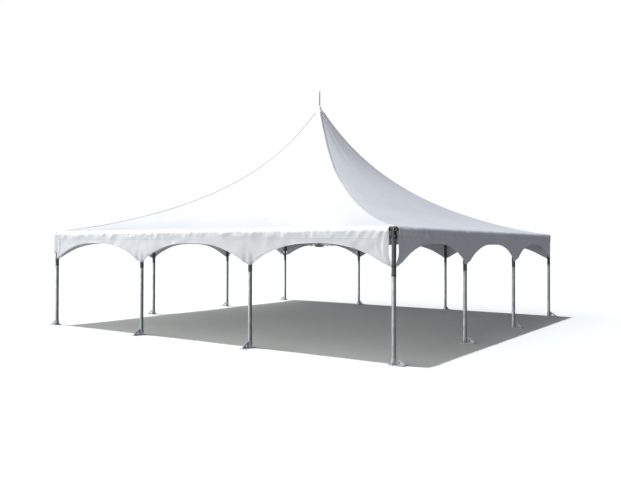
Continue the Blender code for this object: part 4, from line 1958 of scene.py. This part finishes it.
    def build(self) -> None:
        """Makes a rail and a corner, and turns copies of them to each side."""
        rail, corner = self.rail(), self.corner()
        turns = {side.label: side.turn() for side in Side}
        stood(rail, turns, "eave_tube_", Slot.TUBE, "eave_rail_")
        names = ("front_right", "back_right", "back_left", "front_left")
        places = dict(zip(names, turns.values()))
        stood(corner, places, "corner_casting_", Slot.CAST, "corner_fitting_")


@dataclass
class Mast:
    """The mast that floats on the cross cables: foot ring with four lugs, tube, head, boot and spike."""

    layout: Layout
    foot_z: float = 1.900
    ring_r: float = 0.085
    ring_t: float = 0.012
    ease: float = 0.0015
    tube_r: float = 0.038
    head_r: float = 0.0497
    head_h: float = 0.060
    neck_h: float = 0.050
    spike_r: float = 0.014
    spike_tip_r: float = 0.010
    spike_root: float = 0.020
    lug_reach: float = 0.115
    lug_h: float = 0.060
    lug_t: float = 0.014
    lug_hole: tuple[float, float] = (0.098, 0.009)

    def build(self, head_z: float) -> None:
        """Makes the piece that stands for the whole mast.

        Args:
            head_z: How high the cloth's ring sits on its head.
        """
        size, low, spike_r, head_r = self.layout, self.foot_z, self.spike_r, self.head_r
        piece = Workpiece(TUBE_METAL, WHITE_COAT, SPIKE_STEEL, WELD_METAL, WELD_TAPE)
        peak, floor, lug_low = size.tip_z - size.spike, low + self.ring_t, low + self.ring_t / 2
        piece.turned(tube(0, self.ring_r, low, floor, self.ease), finish=1)
        shaft = [(self.tube_r, lug_low), (self.tube_r, head_z - self.head_h - self.neck_h)]
        shaft += [(head_r, head_z - self.head_h), (head_r, head_z), (spike_r + 0.004, peak), (0, peak)]
        piece.turned(shaft, finish=0)
        root, tip_r = peak - self.spike_root, self.spike_tip_r
        spike = [(0, root), (spike_r, root), (spike_r, peak + 0.03), (spike_r * 0.86, peak + 0.035)]
        spike += [(tip_r, size.tip_z - spike_r), (tip_r * 0.7, size.tip_z - spike_r * 0.35), (0, size.tip_z)]
        piece.turned(spike, finish=2, sides=24)
        boot = [(head_r + 0.0005, head_z + 0.001), (head_r + 0.004, head_z - 0.006)]
        boot += [(head_r + 0.0045, head_z + 0.006), (spike_r + 0.008, peak + 0.004)]
        boot += [(spike_r + 0.001, peak + 0.016), (spike_r, peak)]
        piece.turned(boot, finish=4, loop=True)
        top, (hole_x, hole_r) = lug_low + self.lug_h, self.lug_hole
        edge = eased(box(self.tube_r - 0.004, lug_low, self.lug_reach, top), 0.012)
        hole = circle(hole_x, lug_low + self.lug_h / 2, hole_r)
        seams = []
        for side in Side:
            turn = spun(math.pi / 4 + side.value * QUARTER)
            piece.added(cut_plate([edge, hole], self.lug_t, 0.0012), turn @ spun(QUARTER, "X"), 1)
            for aside in (-self.lug_t / 2 - 0.001, self.lug_t / 2 + 0.001):
                for end in ((self.tube_r, aside, top), (self.ring_r - 0.003, aside, floor)):
                    seams.append([turn @ Vector(spot) for spot in ((self.tube_r, aside, floor), end)])
        piece.welded(seams, 0.003, 3)
        piece.welded([ring_line(self.tube_r + 0.001, shifted(0, 0, floor + 0.001))], 0.0035, 3, closed=True)
        hand_over(piece.finished("mast_flying"), Slot.TUBE, "flying_mast")


@dataclass
class CrossCables:
    """The four taut wire ropes from the mast's foot to the corners, with shackles, eyes and turnbuckles."""

    layout: Layout
    mast_hole: float = 0.098
    mast_z: float = 1.936
    corner_hole: float = 0.083
    corner_z: float = 2.215
    strands: int = 6
    strand_r: float = 0.0018
    orbit: float = 0.0032
    lay: float = 0.080
    points_a_turn: int = 8
    shackle_r: float = 0.013
    bow_r: float = 0.016
    wire_r: float = 0.0038
    thimble_r: float = 0.0112
    rope_r: float = 0.0045

    def shackle(self, piece: Workpiece, place: Matrix) -> None:
        """Adds a bow shackle.

        Args:
            piece: What it is added to.
            place: Its pin lies along X through the origin, and its bow along Z.
        """
        leg, bow = self.shackle_r, self.bow_r
        turns = np.linspace(-0.5, math.pi + 0.5, 15)
        path = [(-leg, 0, 0), (-leg, 0, 0.012)]
        path += [(-bow * math.cos(a), 0, 0.026 + bow * math.sin(a)) for a in turns]
        path += [(leg, 0, 0.012), (leg, 0, 0)]
        piece.swept([[place @ Vector(spot) for spot in path]], self.wire_r, 1, sides=10)
        pin = [(0, 0), (0.0065, 0.001), (0.0065, 0.006), (0.0045, 0.007), (0.0045, 0.040), (0, 0.041)]
        ends = (place @ Vector((side * 0.021, 0, 0)) for side in (-1, 1))
        piece.turned(pin, towards(*ends), 1, SMALL_ROUND)

    def turnbuckle(self, piece: Workpiece, place: Matrix) -> None:
        """Adds a turnbuckle.

        Args:
            piece: What it is added to.
            place: It lies along Z, from an eye at 0 to an eye at 0.30.
        """
        rods = [[place @ Vector((side * 0.011, 0, z)) for z in (0.070, 0.230)] for side in (-1, 1)]
        piece.swept(rods, 0.004, 1, sides=10)
        nut = ((0, 0), (0.014, 0), (0.0155, 0.002), (0.0155, 0.016), (0.014, 0.018), (0, 0.018))
        for low in (0.066, 0.216):
            piece.turned([(r, low + z) for r, z in nut], place, 1, SMALL_ROUND)
        for centre, start, end in ((0.008, 0.018, 0.115), (0.292, 0.185, 0.282)):
            eye = ring_line(0.0100, place @ shifted(0, 0, centre) @ spun(QUARTER, "X"), 24)
            piece.swept([eye], 0.0035, 1, sides=10, closed=True)
            piece.turned([(0, start), (0.0048, start), (0.0048, end), (0, end)], place, 1, SMALL_ROUND)

    def eye(self, piece: Workpiece, place: Matrix) -> None:
        """Adds a rope eye round its thimble, and the ferrule that closes it.

        Args:
            piece: What it is added to.
            place: It lies along Z, from 0 to about 0.06.
        """
        bend = self.thimble_r
        turn = [(bend * math.cos(a), 0.012 - bend * math.sin(a)) for a in np.linspace(0, math.pi, 17)]
        loop = [(0.0035, 0.058), (0.0085, 0.032), *turn, (-0.0085, 0.032), (-0.0035, 0.058)]
        piece.swept([[place @ Vector((x, 0, z)) for x, z in loop]], self.rope_r, 0, sides=10)
        channel = [place @ Vector((x * 0.66, 0, 0.012 + (z - 0.012) * 0.74)) for x, z in loop]
        piece.swept([channel], 0.0028, 1, sides=8)
        ferrule = [(0, 0.056), (0.0085, 0.057), (0.0098, 0.060), (0.0098, 0.088), (0.0085, 0.091), (0, 0.092)]
        piece.turned(ferrule, place, 1, SMALL_ROUND)

    def cable(self, name: str, signs: tuple[int, int]) -> None:
        """Makes one cable and all that is on it.

        Args:
            name: Its corner's name.
            signs: The corner's X and Y signs.
        """
        outward = Vector((*signs, 0)).normalized()
        start = outward * self.mast_hole + Vector((0, 0, self.mast_z))
        reach = self.layout.half * math.sqrt(2) - self.corner_hole
        end = outward * reach + Vector((0, 0, self.corner_z))
        way = (end - start).normalized()
        aside = Vector((-outward.y, outward.x, 0))
        over = way.cross(aside)
        piece = Workpiece(ROPE_STEEL, BOLT_STEEL)
        fittings = (
            (self.shackle, start, way, aside),
            (self.turnbuckle, start + way * 0.030, way, over),
            (self.eye, start + way * 0.310, way, aside),
            (self.shackle, end, -way, over),
            (self.eye, end - way * 0.026, -way, aside),
        )
        for add, at, forward, sideways in fittings:
            add(piece, framed(at, sideways, forward.cross(sideways), forward))
        first, last = start + way * 0.390, end - way * 0.105
        sizes = {"Strands": self.strands, "Lay": self.lay, "Thick": self.strand_r, "Orbit": self.orbit}
        sizes["Points"] = int((last - first).length / self.lay * self.points_a_turn)
        piece.grow(lines_mesh([[first, last]]), Trees.rope(), 0, Across=aside, Over=over, **sizes)
        hand_over(piece.finished(f"cable_wire_rope_{name}", 50), Slot.ROPE, f"cross_cable_{name}")

    def build(self) -> None:
        """Makes the four cables."""
        for name, signs in self.layout.corners().items():
            self.cable(name, signs)


@dataclass
class Ties:
    """The black webbing that ties each tip of the valance to its leg."""

    layout: Layout
    width: float = 0.020
    thickness: float = 0.0022
    main_z: float = 1.602
    low_z: float = 1.450
    slack: float = 0.0016
    dip: float = 0.004
    stations: int = 56
    cord_r: float = 0.0048
    tail_r: float = 0.0042

    def band(self, piece: Workpiece, place: Matrix, z: float) -> None:
        """Adds a loop of webbing round a leg.

        Args:
            piece: What it is added to.
            place: The leg's placement. The loop dips on the side away from its X axis.
            z: How high the loop is.
        """
        inner = self.layout.leg_r + self.slack
        outer, half = inner + self.thickness, self.width / 2
        section = box(inner, -half, outer, half)
        rings = []
        for i in range(self.stations):
            a = math.tau * i / self.stations
            level = self.dip * math.cos(a)
            spots = [(r * math.cos(a), r * math.sin(a), z + h + level) for r, h in section]
            rings.append([piece.point(place @ Vector(spot)) for spot in spots])
        scale = math.tau * outer / self.stations, self.width
        for i, (here, there) in enumerate(zip(rings, rings[1:] + rings[:1])):
            for k in range(4):
                n = (k + 1) % 4
                piece.quad((here[k], there[k], there[n], here[n]), box(i, 0, i + 1, 1), scale, 0)

    def buckle(self, piece: Workpiece, place: Matrix) -> None:
        """Adds a small steel cam buckle, flat against the leg."""
        edge = eased(box(-0.016, -0.014, 0.016, 0.014), 0.004)
        piece.added(cut_plate([edge, circle(0, 0, 0.006, 16)], 0.003, 0.0006), place @ spun(QUARTER, "Y"), 1)

    def knot(self, piece: Workpiece, place: Matrix) -> None:
        """Adds a knot of webbing and its two tails.

        Args:
            piece: What it is added to.
            place: Where it sits on the band, its X axis out from the leg.
        """
        turns, shares = np.linspace(0, 2.6 * math.tau, 60), np.linspace(0, 1, 8)
        coil = [(0.010 + 0.007 * math.cos(a), 0.010 * math.sin(a * 0.62), 0.011 * math.sin(a)) for a in turns]
        piece.swept([[place @ Vector(spot) for spot in coil]], self.cord_r, 0, sides=8)
        tails = []
        for side in (-1, 1):
            tail = [(0.012 - 0.006 * t, side * (0.008 + 0.010 * t), -0.008 - 0.075 * t) for t in shares]
            tails.append([place @ Vector(spot) for spot in tail])
        piece.swept(tails, self.tail_r, 0, sides=8)

    def build(self) -> None:
        """Makes each leg's tie, and a second one on each corner leg. Two corners have knots, not buckles."""
        face = self.layout.leg_r + self.slack + self.thickness
        for name, place in self.layout.legs().items():
            piece = Workpiece(WEBBING, BOLT_STEEL)
            knotted = name.endswith("left_corner")
            facing = place if knotted else place @ spun(math.pi)
            for z in (self.main_z, self.low_z) if name.endswith("corner") else (self.main_z,):
                self.band(piece, facing, z)
                if knotted:
                    self.knot(piece, facing @ shifted(face, 0, z + self.dip))
                else:
                    self.buckle(piece, facing @ shifted(face + 0.0015, 0, z + self.dip))
            hand_over(piece.finished(f"tie_webbing_{name}"), Slot.VINYL)


# The studio


@dataclass(frozen=True)
class SoftBox:
    """One soft light of the surround: brightest where it faces, and falling off all round."""

    facing: Triple
    colour: Triple
    sharpness: float

    def light(self, tree: NodeTree, way: NodeSocket) -> Node:
        """Adds the nodes that give its colour for a direction.

        Args:
            tree: The world's tree.
            way: The direction's socket.

        Returns:
            The last node.
        """
        near_in = {0: way, 1: Vector(self.facing).normalized()}
        near = add_node(tree, "ShaderNodeVectorMath", near_in, operation="DOT_PRODUCT").outputs["Value"]
        held = add_node(tree, "ShaderNodeMath", {0: near, 1: 0.0}, operation="MAXIMUM")
        lobe = add_node(tree, "ShaderNodeMath", {0: held, 1: self.sharpness}, operation="POWER")
        return add_node(tree, "ShaderNodeVectorMath", {0: self.colour, "Scale": lobe}, operation="SCALE")


@dataclass(frozen=True)
class Lamp:
    """A far lamp: its height, and the turn from +X towards +Y that its light travels to, in degrees."""

    name: str
    height: float
    turn: float
    strength: float
    size: float
    colour: Triple

    def light(self) -> None:
        """Adds it. Its size softens its shadows, and its strength is in watts a square metre."""
        data = bpy.data.lights.new(self.name, "SUN")
        data.energy, data.color, data.angle = self.strength, self.colour, math.radians(self.size)
        height, turn = math.radians(self.height), math.radians(self.turn)
        flat = math.cos(height)
        way = Vector((flat * math.cos(turn), flat * math.sin(turn), -math.sin(height)))
        lamp = link(bpy.data.objects.new(self.name, data))
        lamp.matrix_world = (-way).to_track_quat("Z", "Y").to_matrix().to_4x4()


@dataclass(frozen=True)
class Studio:
    """The photograph's camera, a high sun, broad light on the front and a pale floor."""

    focal_px: float = 656.3
    sensor_mm: float = 36.0
    place: Triple = (9.576, -14.104, 1.936)
    yaw_pitch_roll: Triple = (34.946, 0.491, 0.181)
    lamps: tuple[Lamp, ...] = (
        Lamp("sun", 76.0, 14.0, 2.42, 1.8, (0.92, 0.94, 1.0)),
        Lamp("key", 3.0, 30.0, 2.15, 20.0, (1.0, 1.0, 1.0)),
    )
    floor_half: float = 400.0
    floor_seen: Triple = (1.02, 1.02, 0.96)
    floor_bounce: float = 0.34
    boxes: tuple[SoftBox, ...] = (
        SoftBox((0, -1, 0.06), (3.66, 3.84, 3.84), 12),
        SoftBox((-0.5, -0.5, 0.7), (1.22, 1.24, 1.28), 6),
        SoftBox((1, 0, 0.1), (0.05, 0.05, 0.09), 4),
        SoftBox((0, 1, 0.1), (0.11, 0.18, 0.25), 4),
    )

    def camera(self) -> None:
        """Sets the camera."""
        data = bpy.data.cameras.new("camera")
        data.sensor_width, data.lens = self.sensor_mm, self.focal_px / IMAGE_WIDTH * self.sensor_mm
        data.clip_start, data.clip_end = 0.1, 2000
        yaw, pitch, roll = map(math.radians, self.yaw_pitch_roll)
        ahead = Vector((-math.sin(yaw) * math.cos(pitch), math.cos(yaw) * math.cos(pitch), math.sin(pitch)))
        right = Vector((math.cos(yaw), math.sin(yaw), 0))
        up = right.cross(ahead)
        leaned_right = right * math.cos(roll) + up * math.sin(roll)
        leaned_up = up * math.cos(roll) - right * math.sin(roll)
        camera = link(bpy.data.objects.new("camera", data))
        camera.matrix_world = framed(self.place, leaned_right, leaned_up, -ahead)
        bpy.context.scene.camera = camera

    def sky(self) -> None:
        """Hangs the soft boxes round the tent as lobes of the world's light, and plain white for the eye."""
        world = bpy.data.worlds.new("studio")
        world.use_nodes = True
        tree = world.node_tree
        tree.nodes.clear()
        way = add_node(tree, "ShaderNodeTexCoord").outputs["Generated"]
        total, *others = [lit.light(tree, way) for lit in self.boxes]
        for light in others:
            total = add_node(tree, "ShaderNodeVectorMath", {0: total, 1: light}, operation="ADD")
        soft = add_node(tree, "ShaderNodeBackground", {"Color": total})
        white = add_node(tree, "ShaderNodeBackground", {"Color": (1, 1, 1, 1)})
        seen = add_node(tree, "ShaderNodeLightPath").outputs["Is Camera Ray"]
        both = add_node(tree, "ShaderNodeMixShader", {0: seen, 1: soft, 2: white})
        add_node(tree, "ShaderNodeOutputWorld", {"Surface": both})
        bpy.context.scene.world = world

    def floor(self) -> None:
        """Lays the pale floor. It throws back less light than it shows, so that shaded sides stay dark."""
        mesh = bpy.data.meshes.new("floor")
        half = self.floor_half
        mesh.from_pydata([(x, y, 0) for x, y in box(-half, -half, half, half)], [], [(0, 1, 2, 3)])
        material = bpy.data.materials.new("studio_floor")
        material.use_nodes = True
        tree = material.node_tree
        shader = tree.nodes["Principled BSDF"]
        seen = add_node(tree, "ShaderNodeLightPath").outputs["Is Camera Ray"]
        tones = {0: seen, 6: (*[self.floor_bounce] * 3, 1), 7: (*self.floor_seen, 1)}
        dress(tree, shader, tones)
        shader.inputs["Roughness"].default_value = 0.9
        shader.inputs["Specular IOR Level"].default_value = 0.0
        mesh.materials.append(material)
        link(bpy.data.objects.new("floor", mesh))

    def build(self) -> None:
        """Sets up the camera, the lights and the floor."""
        self.camera()
        for lamp in self.lamps:
            lamp.light()
        self.sky()
        self.floor()
        bpy.context.scene.view_settings.view_transform = "Standard"


def main() -> None:
    """Builds the studio and then the tent, from the cloth down to the feet."""
    logging.basicConfig(level=logging.INFO, format="%(message)s")
    layout = Layout.from_frame()
    Studio().build()
    canopy = Canopy(layout)
    canopy.build()
    fasteners = Fasteners()
    Legs(layout).build()
    Feet(layout, fasteners).build()
    EaveFrame(layout, fasteners).build()
    head = np.array([canopy.head_r])
    Mast(layout).build(float(canopy.roof_z(head * 0, head)[0]))
    CrossCables(layout).build()
    Ties(layout).build()
    dropped(fasteners.bolt, fasteners.nut)


if __name__ == "__main__":
    main()
